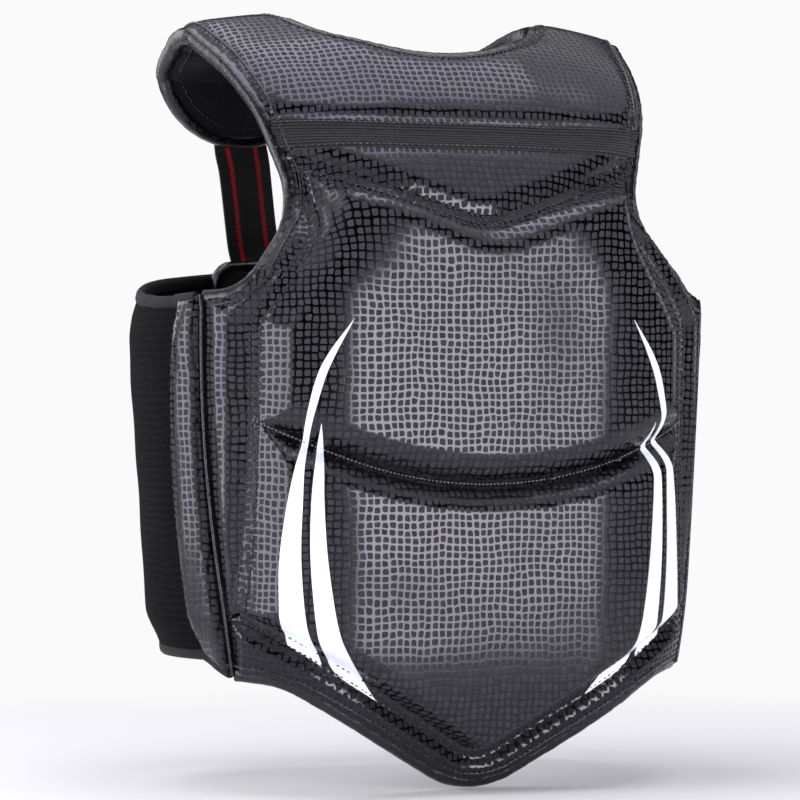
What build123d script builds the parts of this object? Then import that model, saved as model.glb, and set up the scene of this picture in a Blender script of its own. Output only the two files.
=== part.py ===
from build123d import *
import os
from math import asin, atan2, cos, hypot, radians, sin

# Chest protector: a padded front panel with a yoke over both shoulders, two round shoulder tongues,
# elastic straps down to a back panel, and two side wings with mesh belts that fasten behind.
# Millimetres, +Z up. The wearer faces -Y, so the wearer's left is +X.
# The origin lies on the torso's axis, at the height of the shoulder rest.

os.makedirs("parts", exist_ok=True)

# Heights
beltTop = -160.0            # top edge of the wings and side corners
hemTip = -455.5             # lowest point of the front panel
beltBottom = hemTip + 75.5  # bottom edge of the wings
chestLevel = -100.0         # narrowest part of the chest, between the armholes
shoulderLevel = -40.0       # the section is wide again above this
crestRise = 18.0            # outer skin of the yoke at its highest, above the origin

# Torso section: a slot shape, two half circles joined by flats, given by half width and half depth
topHalfWidth, topHalfDepth = 184.0, 115.0
bottomHalfWidth, bottomHalfDepth = 170.0, 106.5
chestHalfWidth = 150.0
shoulderHalfWidth = 190.0

# Side profile of the front panel and shoulders, as (y, z) corners with the radius at each
profileFoot = (-80.0, hemTip - 20)
profileCorners = [
    ((-114.0, beltBottom + 15), 200.0),
    ((-117.0, -128.0), 80.0),
    ((-60.0, -22.0), 150.0),
    ((25.0, crestRise + 10), 44.0),
    ((68.0, -5.0), 42.0),
]
profileEnd = (78.0, -90.0)
yokeFlat = 50.0             # half width of the level middle of the yoke
shoulderFall = 0.16         # drop of the shoulders for each millimetre outward of that
crestY = 24.0               # the crest, where the yoke turns down behind

# Layers of the padding
coverThick = 1.5
liningThick = 1.2
panelThick = 14.0           # cover, foam and lining together, away from the pads
padRise = 7.0               # how far the chest and abdomen pads stand above that
bindingThick = 1.2
bindingWidth = 8.0
tapeThick = 1.2

# Outlines of the front panel
neckHalfWidth, neckHalfDepth, neckY = 85.0, 61.0, 22.0
shoulderOuter = 147.0       # outer edge of the tongues
tongueInner = 37.0          # inner edge of the tongues, behind the neck
tongueEnd = -65.0           # height of the tongues' round ends
armholeCorners = [((112.0, -110.0), 45.0), ((150.0, beltTop), 25.0)]
armholeTop = (152.0, 30.0)
hemCorner, hemCornerRadius = (125.0, hemTip + 64.5), 60.0
hemSideZ, hemTipRadius = beltBottom + 1, 55.0

# Stitched outlines of the two pads, right half, as (x, z)
yokeCorner = (109.0, -83.0)
yokePoint = -118.5          # lowest point of the V seam under the yoke
padWaist = (104.0, -122.0)
padShoulder = (141.0, -178.0)
midSeamSide, midSeamDrop = (141.0, -236.0), -274.0
padFoot = (133.0, hemTip + 101.5)
padPoint = hemTip + 16.5    # lowest point of the V seam above the hem
padGap = 3.0                # the groove between chest and abdomen pads

tapeZ, tapeWidth = -67.0, 18.0

# Side wings and mesh belts. Angles are measured round the torso's side arcs, from the front, and
# each seam has one at the belt's bottom and one at its top
pipingAngles = (51.0, 58.0)
meshAngles = (66.0, 70.0)
pipingRadius = 2.2
hingeGap = 0.5
wingThick = 6.0
meshDepth, meshThick = 1.5, 3.0
beltEndX, beltNarrowX, beltWideX, beltLevelX = 25.0, 82.0, 106.0, 168.0
beltRise = 18.0             # how far the belt's edges rise on their way from the side to the back
beltTaper = 30.0            # how much lower the belt's narrow end starts, and how much higher it stops
beltNarrowTop, beltNarrowBottom = beltTop - beltTaper, beltBottom + beltTaper
beltEndRadius = 20.0

# Hook and loop closure, back panel and elastic straps
hookThick = 1.5
closureGap = 0.3
backThick = 8.0
backHalfWidth, backTop, backBottom, backRadius = 100.0, beltTop + 24, beltBottom + 6, 25.0
hookMargin = 5.0            # between the hook patch and the belt's binding
hookShort = 6.0             # the patch ends this far inside the back panel's edge
loopStart, loopMargin = 5.0, 1.0
strapWidth, strapThick = 38.0, 2.0
strapTopX, strapFootX = 87.0, backHalfWidth - 37
strapSewn = 26.0            # length of strap sewn down at each end
strapClear = 0.5

FAR = 700.0                 # larger than the object, for cutting solids
overrun = 60.0              # how far forms and cutting outlines run past the object
sliver = 1.0                # a solid under this many cubic millimetres is a leftover of a cut
SIDES = {"left": 1, "right": -1}


def slotAt(z):
    """Half width and half depth of the torso's section between the belt and the hem."""
    share = (z - beltBottom) / (beltTop - beltBottom)
    return (
        bottomHalfWidth + share * (topHalfWidth - bottomHalfWidth),
        bottomHalfDepth + share * (topHalfDepth - bottomHalfDepth),
    )


def torso(depth):
    """The torso form, `depth` below the outer skin."""
    low = hemTip - overrun
    sections = [
        (low, *slotAt(low)),
        (beltTop, topHalfWidth, topHalfDepth),
        (chestLevel, chestHalfWidth, topHalfDepth),
        (shoulderLevel, shoulderHalfWidth, topHalfDepth),
        (crestRise + overrun, shoulderHalfWidth, topHalfDepth),
    ]
    slots = [Plane.XY.offset(z) * SlotOverall(2 * (a - depth), 2 * (b - depth)) for z, a, b in sections]
    return loft(slots, ruled=True)


def grown(face, amount):
    """A face with its outline moved out by `amount`, or in if that is negative."""
    return offset(face, amount=amount, kind=Kind.INTERSECTION) if amount else face


def sideProfile(depth):
    """Solid under the side profile, `depth` below the outer skin: level in the middle, falling outward."""
    corners = [point for point, _ in profileCorners]
    radii = [radius for _, radius in profileCorners]
    low = hemTip - 2 * overrun
    chest = corners[1]
    tucked = (FilletPolyline(profileFoot, *corners, profileEnd, radius=radii), profileFoot)
    upright = (FilletPolyline((chest[0], low + 1), *corners[1:], profileEnd, radius=radii[1:]),
               (chest[0], low + 1))

    def section(skin, foot):
        close = Polyline(profileEnd, (profileEnd[0], low), (foot[0], low), foot)
        return grown(make_face(skin + close), -depth)

    # Local X runs along +Y and local Y along +Z
    solid = extrude(Plane.YZ * section(*tucked), amount=FAR / 2, both=True)
    for side in SIDES.values():
        reach = FAR / 2
        start = Vector(side * (yokeFlat - reach), 0, shoulderFall * reach)
        slope = Vector(side, 0, -shoulderFall)
        plane = Plane(origin=start, x_dir=(0, 1, 0), z_dir=(1, 0, 0))
        solid &= extrude(plane * section(*upright), amount=2 * reach * slope.length, dir=slope.normalized())
    return solid


def prismY(face, yLow=-FAR, yHigh=FAR):
    """A sketch drawn in (x, z), carried from yLow to yHigh."""
    plane = Plane(origin=(0, yHigh, 0), x_dir=(1, 0, 0), z_dir=(0, -1, 0))
    return extrude(plane * face, amount=yHigh - yLow)


def block(xLow, xHigh, yLow, yHigh, zLow, zHigh):
    size = (xHigh - xLow, yHigh - yLow, zHigh - zLow)
    return Pos((xLow + xHigh) / 2, (yLow + yHigh) / 2, (zLow + zHigh) / 2) * Box(*size)


def sidePoint(angle, side, z):
    """The point of the torso's side arc at this angle and height."""
    a, b = slotAt(z)
    return Vector(side * (a - b + b * sin(radians(angle))), -b * cos(radians(angle)), z)


def sidePlane(angles, side):
    """Plane through a straight line of the side arc. Local Y points to the back, local X outward."""
    low, high = sidePoint(angles[0], side, beltBottom), sidePoint(angles[1], side, beltTop)
    middle = radians(sum(angles) / 2)
    outward = Vector(side * sin(middle), -cos(middle), 0)
    return Plane(origin=low, x_dir=outward, z_dir=high - low)


def behind(angles, side, gap=0.0, top=beltTop):
    """Everything behind the plane at these angles, on one side of the object, below this height."""
    half = FAR / 2
    space = sidePlane(angles, side) * Pos(0, side * (half + gap), 0) * Box(FAR, FAR, 2 * FAR)
    return space & block(-FAR, FAR, -FAR, FAR, -FAR, top)


def mirrored(points):
    return [(-x, z) for x, z in points]


def armhole(side, grow):
    """The space outside one armhole, in front of the crest."""
    outline = FilletPolyline(
        armholeTop, *[point for point, _ in armholeCorners], (FAR, beltTop),
        radius=[radius for _, radius in armholeCorners],
    )
    close = Polyline((FAR, beltTop), (FAR, armholeTop[1]), armholeTop)
    face = grown(make_face(outline + close), grow)
    if side < 0:
        face = mirror(face, about=Plane.YZ)
    return prismY(face, -FAR, crestY + panelThick)


def neck(grow):
    centre = Pos(0, neckY, 0) * Ellipse(neckHalfWidth + grow, neckHalfDepth + grow)
    return extrude(Pos(0, 0, tongueEnd) * centre, amount=FAR)


def belowHem(grow):
    """The space below the hem line, and `grow` above it."""
    wide = hemCorner[0] + 2 * overrun
    tipCorner = hemTip - hemTipRadius * (1 / cos(hemSlope()) - 1)
    line = FilletPolyline(
        (-wide, hemSideZ), (-hemCorner[0], hemCorner[1]), (0, tipCorner), hemCorner, (wide, hemSideZ),
        radius=[hemCornerRadius, hemTipRadius, hemCornerRadius],
    )
    close = Polyline((wide, hemSideZ), (wide, -FAR), (-wide, -FAR), (-wide, hemSideZ))
    return prismY(grown(make_face(line + close), grow))


def hemSlope():
    """Angle of the hem's straight runs, which touch the rounded tip."""
    rise = hemCorner[1] - hemTip - hemTipRadius
    return atan2(rise, hemCorner[0]) + asin(hemTipRadius / hypot(hemCorner[0], rise))


def frontRegion(grow=0.0):
    """Everything the front panel and yoke may fill, less a margin of `grow` along its free edges."""
    region = block(-FAR, FAR, -FAR, crestY, -FAR, FAR) - belowHem(grow) - neck(grow)
    for side in SIDES.values():
        region -= armhole(side, grow)
        region -= behind(pipingAngles, side)
    return region


def tongueRegion(side, grow=0.0):
    """The same for one shoulder tongue, behind the crest."""
    radius = (shoulderOuter - tongueInner) / 2
    middle = side * (shoulderOuter + tongueInner) / 2
    outline = Pos(middle, tongueEnd + radius) * Circle(radius - grow)
    outline += Pos(middle, tongueEnd + radius + FAR / 2) * Rectangle(2 * (radius - grow), FAR)
    return prismY(outline, crestY, FAR) - neck(grow)


def zone(points):
    return prismY(make_face(Polyline(*points, close=True)))


def padZones():
    """Zones of the chest pad and the abdomen pad, as prisms along Y."""
    left = [yokeCorner, padWaist, padShoulder, midSeamSide]
    seam = ThreePointArc(midSeamSide, (0, midSeamDrop), (-midSeamSide[0], midSeamSide[1]))
    chestEdge = Polyline(*mirrored(left)[::-1], (0, yokePoint), *left)
    chest = prismY(make_face(chestEdge + seam), -FAR, 0)
    foot = [midSeamSide, padFoot, (0, padPoint), (-padFoot[0], padFoot[1]),
            (-midSeamSide[0], midSeamSide[1])]
    abdomen = prismY(make_face(Polyline(*foot) + seam), -FAR, 0)
    lowered = Pos(0, 0, -padGap) * prismY(make_face(Polyline(
        (-midSeamSide[0], 0), (-midSeamSide[0], midSeamSide[1])) + seam + Polyline(
        midSeamSide, (midSeamSide[0], 0), (-midSeamSide[0], 0))))
    return chest, abdomen - lowered, abdomen


def wrap(name, solid):
    """Keeps only the real solids of a result and writes them as one node."""
    solids = [piece for piece in solid.solids() if piece.volume > sliver]
    shape = Compound(children=solids) if len(solids) > 1 else solids[0]
    shape.label = name
    export_step(shape, f"parts/{name}.step")
    print(name, len(solids), round(shape.volume / 1000, 1), "cm3")


# Front forms at each depth: the torso's section, trimmed by the side profile
foamTop, foamFoot = coverThick, panelThick - liningThick
depths = [-padRise, coverThick - padRise, -bindingThick, 0.0, foamTop, foamFoot, panelThick,
          panelThick + bindingThick]
torsos = {depth: torso(depth) for depth in depths}
profiles = {depth: sideProfile(depth) for depth in depths}
cores = {depth: torsos[depth] & profiles[depth] for depth in depths}


def layer(forms, outer, inner):
    return forms[outer] - forms[inner]


# Front panel
chestZone, abdomenZone, abdomenAndGroove = padZones()
inside = frontRegion(bindingThick)
pipings = {
    side: sidePlane(pipingAngles, side) * Cylinder(
        pipingRadius, (beltTop - beltBottom), align=(Align.CENTER, Align.CENTER, Align.MIN))
    for side in SIDES.values()
}
bothPipings = pipings[1] + pipings[-1]
sideSpace = behind(pipingAngles, 1) + behind(pipingAngles, -1)
inside -= bothPipings
coverLayer = layer(cores, 0.0, foamTop) & inside
foamLayer = layer(cores, foamTop, foamFoot) & inside
liningLayer = layer(cores, foamFoot, panelThick) & inside
padCover = layer(cores, -padRise, coverThick - padRise) - sideSpace
padFoam = layer(cores, coverThick - padRise, foamFoot) - sideSpace - bothPipings

pads = chestZone + abdomenAndGroove
yokeZone = zone([(-FAR, yokeCorner[1]), (-yokeCorner[0], yokeCorner[1]), (0, yokePoint), yokeCorner,
                 (FAR, yokeCorner[1]), (FAR, FAR), (-FAR, FAR)])
hemZone = zone([(-FAR, padFoot[1]), (-padFoot[0], padFoot[1]), (0, padPoint), padFoot,
                (FAR, padFoot[1]), (FAR, -FAR), (-FAR, -FAR)])

wrap("chest_cover", padCover & chestZone)
wrap("abdomen_cover", padCover & abdomenZone)
wrap("chest_foam", padFoam & chestZone)
wrap("abdomen_foam", padFoam & abdomenZone)
wrap("body_lining", liningLayer)

yokeCover = coverLayer & yokeZone
yokeFoam = foamLayer & yokeZone
wrap("yoke_foam", yokeFoam)
wrap("hem_cover", coverLayer & hemZone)
wrap("hem_foam", foamLayer & hemZone)
sideCover = coverLayer - pads - yokeZone - hemZone
sideFoam = foamLayer - pads - yokeZone - hemZone
for name, side in SIDES.items():
    half = block(0, FAR, -FAR, FAR, -FAR, FAR) if side > 0 else block(-FAR, 0, -FAR, FAR, -FAR, FAR)
    wrap(f"flank_cover_{name}", sideCover & half)
    wrap(f"flank_foam_{name}", sideFoam & half)
    wrap(f"side_piping_{name}", pipings[side])

# Shoulder tongues: the yoke's leather runs on over them
tongueLayers = {
    "cover": layer(profiles, 0.0, foamTop),
    "foam": layer(profiles, foamTop, foamFoot),
    "lining": layer(profiles, foamFoot, panelThick),
}
for name, side in SIDES.items():
    tongue = tongueRegion(side, bindingThick)
    yokeCover += tongueLayers["cover"] & tongue
    wrap(f"shoulder_foam_{name}", tongueLayers["foam"] & tongue)
    wrap(f"shoulder_lining_{name}", tongueLayers["lining"] & tongue)
wrap("yoke_cover", yokeCover)

# Edge bindings: tape folded over each free edge
frontWrap = layer(cores, -bindingThick, panelThick + bindingThick)
frontPanel = layer(cores, 0.0, panelThick)
tongueWrap = layer(profiles, -bindingThick, panelThick + bindingThick)
tonguePanel = layer(profiles, 0.0, panelThick)


def frontBinding(band, edge):
    """Tape folded round the front's edge: as wide as `band`, and as thick as `edge` at the edge itself."""
    return (frontWrap & frontRegion() & band) - (frontPanel - edge)


wrap("hem_binding", frontBinding(belowHem(bindingWidth), belowHem(bindingThick)) - bothPipings)
wrap("neck_binding", frontBinding(neck(bindingWidth), neck(bindingThick)))
for name, side in SIDES.items():
    edge = frontBinding(armhole(side, bindingWidth), armhole(side, bindingThick)) - bothPipings
    tongueStrip = tongueWrap & tongueRegion(side)
    tongueEdge = tongueStrip - tongueRegion(side, bindingWidth)
    tongueEdge -= tonguePanel & tongueRegion(side, bindingThick)
    wrap(f"armhole_binding_{name}", edge + tongueEdge)

# Woven tape across the upper chest
tapeBand = block(-FAR, FAR, -FAR, crestY, tapeZ - tapeWidth / 2, tapeZ + tapeWidth / 2)
wrap("chest_tape", layer(cores, -tapeThick, 0.0) & tapeBand & frontRegion(bindingWidth))

# Wings: leather, thin foam and lining between the piping and the mesh belt
wallDepths = [-bindingThick, 0.0, coverThick, wingThick - liningThick, wingThick, wingThick + bindingThick]
walls = {depth: torso(depth) for depth in wallDepths}
meshInner = meshDepth + meshThick
meshWalls = {depth: torso(depth) for depth in
             [meshDepth - bindingThick, meshDepth, meshInner, meshInner + bindingThick]}


def between(zLow, zHigh, side):
    xs = (0, FAR) if side > 0 else (-FAR, 0)
    return block(*xs, -FAR, FAR, zLow, zHigh)


def beltOutline(grow, side):
    """Outline of a mesh belt as (x, z), less `grow` along its free edges."""
    points = [(beltEndX, beltNarrowTop), (beltNarrowX, beltNarrowTop), (beltWideX, beltTop + beltRise),
              (beltLevelX, beltTop), (FAR, beltTop), (FAR, beltBottom), (beltLevelX, beltBottom),
              (beltWideX, beltBottom + beltRise), (beltNarrowX, beltNarrowBottom),
              (beltEndX, beltNarrowBottom)]
    face = make_face(Polyline(*points, close=True))
    ends = face.vertices().group_by(Axis.X)[0]
    face = grown(fillet(ends, beltEndRadius), -grow)
    if side < 0:
        face = mirror(face, about=Plane.YZ)
    return prismY(face)


for name, side in SIDES.items():
    wing = behind(pipingAngles, side, pipingRadius + hingeGap) - behind(meshAngles, side)
    panel = wing & between(beltBottom + bindingThick, beltTop - bindingThick, side)
    edges = wing & between(beltBottom, beltTop, side)
    edges -= between(beltBottom + bindingWidth, beltTop - bindingWidth, side)
    wrap(f"wing_cover_{name}", layer(walls, 0.0, coverThick) & panel)
    wrap(f"wing_foam_{name}", layer(walls, coverThick, wingThick - liningThick) & panel)
    wrap(f"wing_lining_{name}", layer(walls, wingThick - liningThick, wingThick) & panel)
    wingWrap = layer(walls, -bindingThick, wingThick + bindingThick) & edges
    wrap(f"wing_binding_{name}", wingWrap - (layer(walls, 0.0, wingThick) & panel))

    belt = behind(meshAngles, side, hingeGap, beltTop + beltRise) & between(-FAR, FAR, side)
    mesh = layer(meshWalls, meshDepth, meshInner) & belt & beltOutline(bindingThick, side)
    wrap(f"mesh_belt_{name}", mesh)
    rim = beltOutline(0, side) - beltOutline(bindingWidth, side)
    beltWrap = layer(meshWalls, meshDepth - bindingThick, meshInner + bindingThick) & belt & rim
    wrap(f"belt_binding_{name}", beltWrap - mesh)

    # Hook patch on the belt's inner face, inside its binding
    hookStart = beltEndX + bindingWidth + hookMargin
    hookX = sorted([side * hookStart, side * (backHalfWidth - hookShort)])
    inset = bindingWidth + hookMargin
    hookArea = block(*hookX, 0, FAR, beltNarrowBottom + inset, beltNarrowTop - inset)
    hookWall = torso(meshInner) - torso(meshInner + hookThick)
    wrap(f"hook_patch_{name}", hookWall & hookArea)

# Back panel, under the belt ends, with the loop fields that the hooks grip
loopDepth = meshInner + hookThick + closureGap
backDepth = loopDepth + hookThick
backFoamTop, backFoamFoot = backDepth + coverThick, backDepth + backThick - liningThick
backInner = backDepth + backThick
backWalls = {depth: torso(depth) for depth in
             [loopDepth, backDepth - bindingThick, backDepth, backFoamTop, backFoamFoot, backInner,
              backInner + bindingThick]}


def backOutline(grow):
    height, middle = backTop - backBottom, (backTop + backBottom) / 2
    face = Pos(0, middle) * RectangleRounded(
        2 * (backHalfWidth - grow), height - 2 * grow, backRadius - grow)
    return prismY(face, 0, FAR)


backPanel = backOutline(bindingThick)
wrap("back_cover", layer(backWalls, backDepth, backFoamTop) & backPanel)
wrap("back_foam", layer(backWalls, backFoamTop, backFoamFoot) & backPanel)
wrap("back_lining", layer(backWalls, backFoamFoot, backInner) & backPanel)
backRim = backOutline(0) - backOutline(bindingWidth)
backWrap = layer(backWalls, backDepth - bindingThick, backInner + bindingThick) & backRim
wrap("back_binding", backWrap - (layer(backWalls, backDepth, backInner) & backPanel))
for name, side in SIDES.items():
    loopX = sorted([side * loopStart, side * (backHalfWidth - bindingWidth - loopMargin)])
    loopArea = block(*loopX, 0, FAR, beltNarrowBottom + bindingThick, beltNarrowTop - bindingThick)
    wrap(f"loop_field_{name}", layer(backWalls, loopDepth, backDepth) & loopArea)

# Elastic straps, sewn to the outer face of each tongue and of the back panel's top
lastCorner = profileCorners[-1][0]
tongueLean = (profileEnd[0] - lastCorner[0]) / (lastCorner[1] - profileEnd[1])
strapOff = strapClear + strapThick / 2 + bindingThick
tongueY = profileEnd[0] + (profileEnd[1] - tongueEnd) * tongueLean + strapOff
strapFoot = backTop - strapSewn
backY, footY = (slotAt(min(z, beltTop))[1] - backDepth + strapOff for z in (backTop, strapFoot))
strapStations = [
    (strapTopX, tongueY - strapSewn * tongueLean, tongueEnd + strapSewn),
    (strapTopX, tongueY, tongueEnd),
    (strapFootX, backY, backTop),
    (strapFootX, footY, strapFoot),
]
for name, side in SIDES.items():
    faces = [Pos(side * x, y, z) * Rectangle(strapWidth, strapThick) for x, y, z in strapStations]
    wrap(f"elastic_strap_{name}", loft(faces, ruled=True))
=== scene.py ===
# Padded chest protector: a front panel with chest and abdomen pads, a yoke over both shoulders,
# side wings with mesh belts, and a small back panel hung on elastic straps.
# Shapes are worked out in millimetres and turned to metres when a mesh is made.
import math
import bmesh
import bpy
import numpy as np
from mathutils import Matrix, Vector
from mathutils.bvhtree import BVHTree
from mathutils.geometry import delaunay_2d_cdt


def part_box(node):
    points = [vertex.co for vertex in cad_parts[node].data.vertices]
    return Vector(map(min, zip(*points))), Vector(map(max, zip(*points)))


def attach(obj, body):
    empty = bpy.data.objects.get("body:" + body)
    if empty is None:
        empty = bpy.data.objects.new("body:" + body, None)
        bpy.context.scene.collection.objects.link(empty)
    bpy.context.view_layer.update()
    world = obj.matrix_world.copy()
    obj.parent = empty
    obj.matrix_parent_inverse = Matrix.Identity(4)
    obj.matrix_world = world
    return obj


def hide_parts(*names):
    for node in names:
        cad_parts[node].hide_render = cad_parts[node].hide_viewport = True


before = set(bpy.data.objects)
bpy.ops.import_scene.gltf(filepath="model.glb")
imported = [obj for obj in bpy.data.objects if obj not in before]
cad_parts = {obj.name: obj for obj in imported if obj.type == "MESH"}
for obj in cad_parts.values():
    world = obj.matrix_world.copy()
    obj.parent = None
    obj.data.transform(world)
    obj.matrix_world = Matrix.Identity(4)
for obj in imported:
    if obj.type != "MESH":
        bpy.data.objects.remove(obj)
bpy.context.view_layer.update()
mm = 0.001
sides = {"left": 1, "right": -1}


def nodeBox(node):
    low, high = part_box(node)
    return [value / mm for value in low], [value / mm for value in high]


torso = {
    "beltTop": nodeBox("wing_binding_left")[1][2],
    "beltBottom": nodeBox("wing_binding_left")[0][2],
    "tongueEnd": nodeBox("shoulder_lining_left")[0][2],
    "levels": [-515, -380, -160, -100, -40, 60],          # heights where the section changes
    "halfWidths": [164.8, 170, 184, 150, 190, 190],
    "halfDepths": [101.3, 106.5, 115, 115, 115, 115],
    "flatTop": 50, "shoulderFall": 0.16, "crestY": 24,
}
sideView = {   # the front's side profile as (y, z), and the radius at each inner corner
    "points": [(-80, -475.5), (-114, -365), (-117, -128), (-60, -22), (25, 28), (68, -5), (78, -90)],
    "radii": [200, 80, 150, 44, 42],
}


# ---- lines and outlines, in millimetres

def filletPath(points, radii, step=1.0):
    # straight runs, with an arc of the given radius at each inner corner
    points = [np.array(p, float) for p in points]
    path = [points[0]]
    for before, corner, after, radius in zip(points, points[1:], points[2:], radii):
        back = (before - corner) / np.linalg.norm(before - corner)
        ahead = (after - corner) / np.linalg.norm(after - corner)
        half = math.acos(float(np.clip(back @ ahead, -1, 1))) / 2
        if radius <= 0:
            path.append(corner)
            continue
        centre = corner + (back + ahead) / np.linalg.norm(back + ahead) * radius / math.sin(half)
        first = corner + back * radius / math.tan(half) - centre
        last = corner + ahead * radius / math.tan(half) - centre
        turn = math.pi - 2 * half
        count = max(2, int(turn * radius / step))
        for share in np.linspace(0, 1, count + 1):
            bend = np.sin((1 - share) * turn) * first + np.sin(share * turn) * last
            path.append(centre + bend / math.sin(turn))
    path.append(points[-1])
    return np.array(path)


def evenly(path, step, closed=False):
    # the same line with its points evenly spaced
    path = np.asarray(path, float)
    if closed:
        path = np.vstack([path, path[:1]])
    along = np.concatenate([[0], np.cumsum(np.linalg.norm(np.diff(path, axis=0), axis=1))])
    places = np.linspace(0, along[-1], max(3, int(round(along[-1] / step))) + 1)
    line = np.stack([np.interp(places, along, path[:, k]) for k in range(path.shape[1])], axis=1)
    return line[:-1] if closed else line


def smoothLine(points, step=2.0):
    # a smooth line through a few points
    p = np.array(points, float)
    p = np.vstack([2 * p[0] - p[1], p, 2 * p[-1] - p[-2]])
    line = []
    for a, b, c, d in zip(p, p[1:], p[2:], p[3:]):
        count = max(2, int(np.linalg.norm(c - b) / step))
        for t in np.arange(count) / count:
            line.append(0.5 * (2 * b + (c - a) * t + (2 * a - 5 * b + 4 * c - d) * t ** 2
                               + (3 * b - a - 3 * c + d) * t ** 3))
    return np.array(line + [p[-2]])


def mirrored(line):
    return np.asarray(line, float) * (-1, 1)


def edgeDistance(points, outline, closed=True):
    # how far each point lies from an outline, and how far round the outline its nearest place is
    start = outline if closed else outline[:-1]
    run = (np.roll(outline, -1, axis=0) - outline) if closed else np.diff(outline, axis=0)
    length = np.linalg.norm(run, axis=1)
    before = np.concatenate([[0], np.cumsum(length)[:-1]])
    best, place = np.full(len(points), 1e9), np.zeros(len(points))
    for p, r, size, far in zip(start, run, length, before):
        share = np.clip(((points - p) @ r) / max(size * size, 1e-9), 0, 1)
        gap = np.linalg.norm(points - p - share[:, None] * r, axis=1)
        nearer = gap < best
        best[nearer], place[nearer] = gap[nearer], far + share[nearer] * size
    return best, place


def inside(points, outline):
    hit = np.zeros(len(points), bool)
    for (x1, y1), (x2, y2) in zip(outline, np.roll(outline, -1, axis=0)):
        if y1 == y2:
            continue
        crosses = (y1 > points[:, 1]) != (y2 > points[:, 1])
        hit ^= crosses & (points[:, 0] < (x2 - x1) * (points[:, 1] - y1) / (y2 - y1) + x1)
    return hit


def wobble(u, v, size, seed):
    # smooth random waves about this many millimetres long, from -1 to 1
    rng = np.random.default_rng(seed)
    total = 0 * u
    for _ in range(7):
        angle, phase = rng.uniform(0, math.tau, 2)
        wave = math.tau / (size * rng.uniform(0.7, 1.5))
        total = total + np.sin((u * math.cos(angle) + v * math.sin(angle)) * wave + phase)
    return total / 4


def ease(value):
    value = np.clip(value, 0, 1)
    return value * value * (3 - 2 * value)


# ---- the surfaces: a place on one is (u, v) in millimetres, and lift is the height above it

profile = evenly(filletPath(sideView["points"], sideView["radii"]), 1.0)
profileTangent = np.gradient(profile, axis=0)
profileTangent /= np.linalg.norm(profileTangent, axis=1)[:, None]
profileS = np.concatenate([[0], np.cumsum(np.linalg.norm(np.diff(profile, axis=0), axis=1))])
chestRow = int(np.argmin(profile[:, 0]))              # where the profile is furthest forward
crestRow = int(np.argmax(profile[:, 1]))              # and where it is highest


def rowOfZ(z):
    return np.interp(z, profile[:crestRow, 1], profileS[:crestRow])


def rowOfBackZ(z):
    return np.interp(-np.asarray(z, float), -profile[crestRow:, 1], profileS[crestRow:])


def rowOfY(y):
    return np.interp(y, profile[chestRow:, 0], profileS[chestRow:])


def section(z):
    # the torso's half width and half depth at this height, eased between the levels
    width, depth = 0, 0
    for shift in (-12, -6, 0, 6, 12):
        width = width + np.interp(z + shift, torso["levels"], torso["halfWidths"]) / 5
        depth = depth + np.interp(z + shift, torso["levels"], torso["halfDepths"]) / 5
    return width, depth


def frontPlace(u, v):
    y, z = np.interp(v, profileS, profile[:, 0]), np.interp(v, profileS, profile[:, 1])
    outY = -np.interp(v, profileS, profileTangent[:, 1])
    outZ = np.interp(v, profileS, profileTangent[:, 0])
    width, depth = section(z)
    over = np.clip(np.abs(u) - (width - depth), 0, depth * 0.97)
    curve = (depth - np.sqrt(depth ** 2 - over ** 2)) * np.clip(-outY, 0, 1)
    fall = torso["shoulderFall"] * np.clip(np.abs(u) - torso["flatTop"], 0, None) * np.clip(outZ, 0, 1)
    back = (curve ** 3 + fall ** 3) ** (1 / 3)
    return np.stack([u + 0 * v, y - outY * back, z - outZ * back], axis=-1)


def wallPlace(u, v):
    # the side and back wall: u runs round the torso from the front's middle, v is the height
    flat, depth = torso["halfWidths"][2] - torso["halfDepths"][2], torso["halfDepths"][2]
    width, radius = section(v)
    angle = np.clip((np.abs(u) - flat) / depth, 0, math.pi)
    past = np.clip((np.abs(u) - flat - math.pi * depth) / flat, 0, 1)
    x = (width - radius) * (1 - past) + radius * np.sin(angle)
    return np.stack([np.sign(u) * x, -radius * np.cos(angle), v + 0 * u], axis=-1)


def backPlace(u, v):
    # the back wall seen from behind, so u grows towards the wearer's right
    width, radius = section(v)
    over = np.clip(np.abs(u) - (width - radius), 0, radius * 0.97)
    return np.stack([-u, np.sqrt(radius ** 2 - over ** 2), v + 0 * u], axis=-1)


def onSurface(place, u, v, lift=0.0):
    # points and outward normals at this height above a surface
    u, v = np.asarray(u, float), np.asarray(v, float)
    step = 0.5
    across = place(u + step, v) - place(u - step, v)
    up = place(u, v + step) - place(u, v - step)
    normal = np.cross(across, up)
    normal /= np.linalg.norm(normal, axis=-1)[:, None]
    return place(u, v) + normal * np.broadcast_to(lift, u.shape)[:, None], normal


def aroundFront(u, v):
    # distance round the front's skin, so that a pattern keeps its size on the curved sides
    width, depth = section(np.interp(v, profileS, profile[:, 1]))
    flat = width - depth
    over = np.clip(np.abs(u) - flat, 0, depth * 0.97)
    return np.sign(u) * (np.minimum(np.abs(u), flat) + depth * np.arcsin(over / depth))


# ---- meshes

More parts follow.
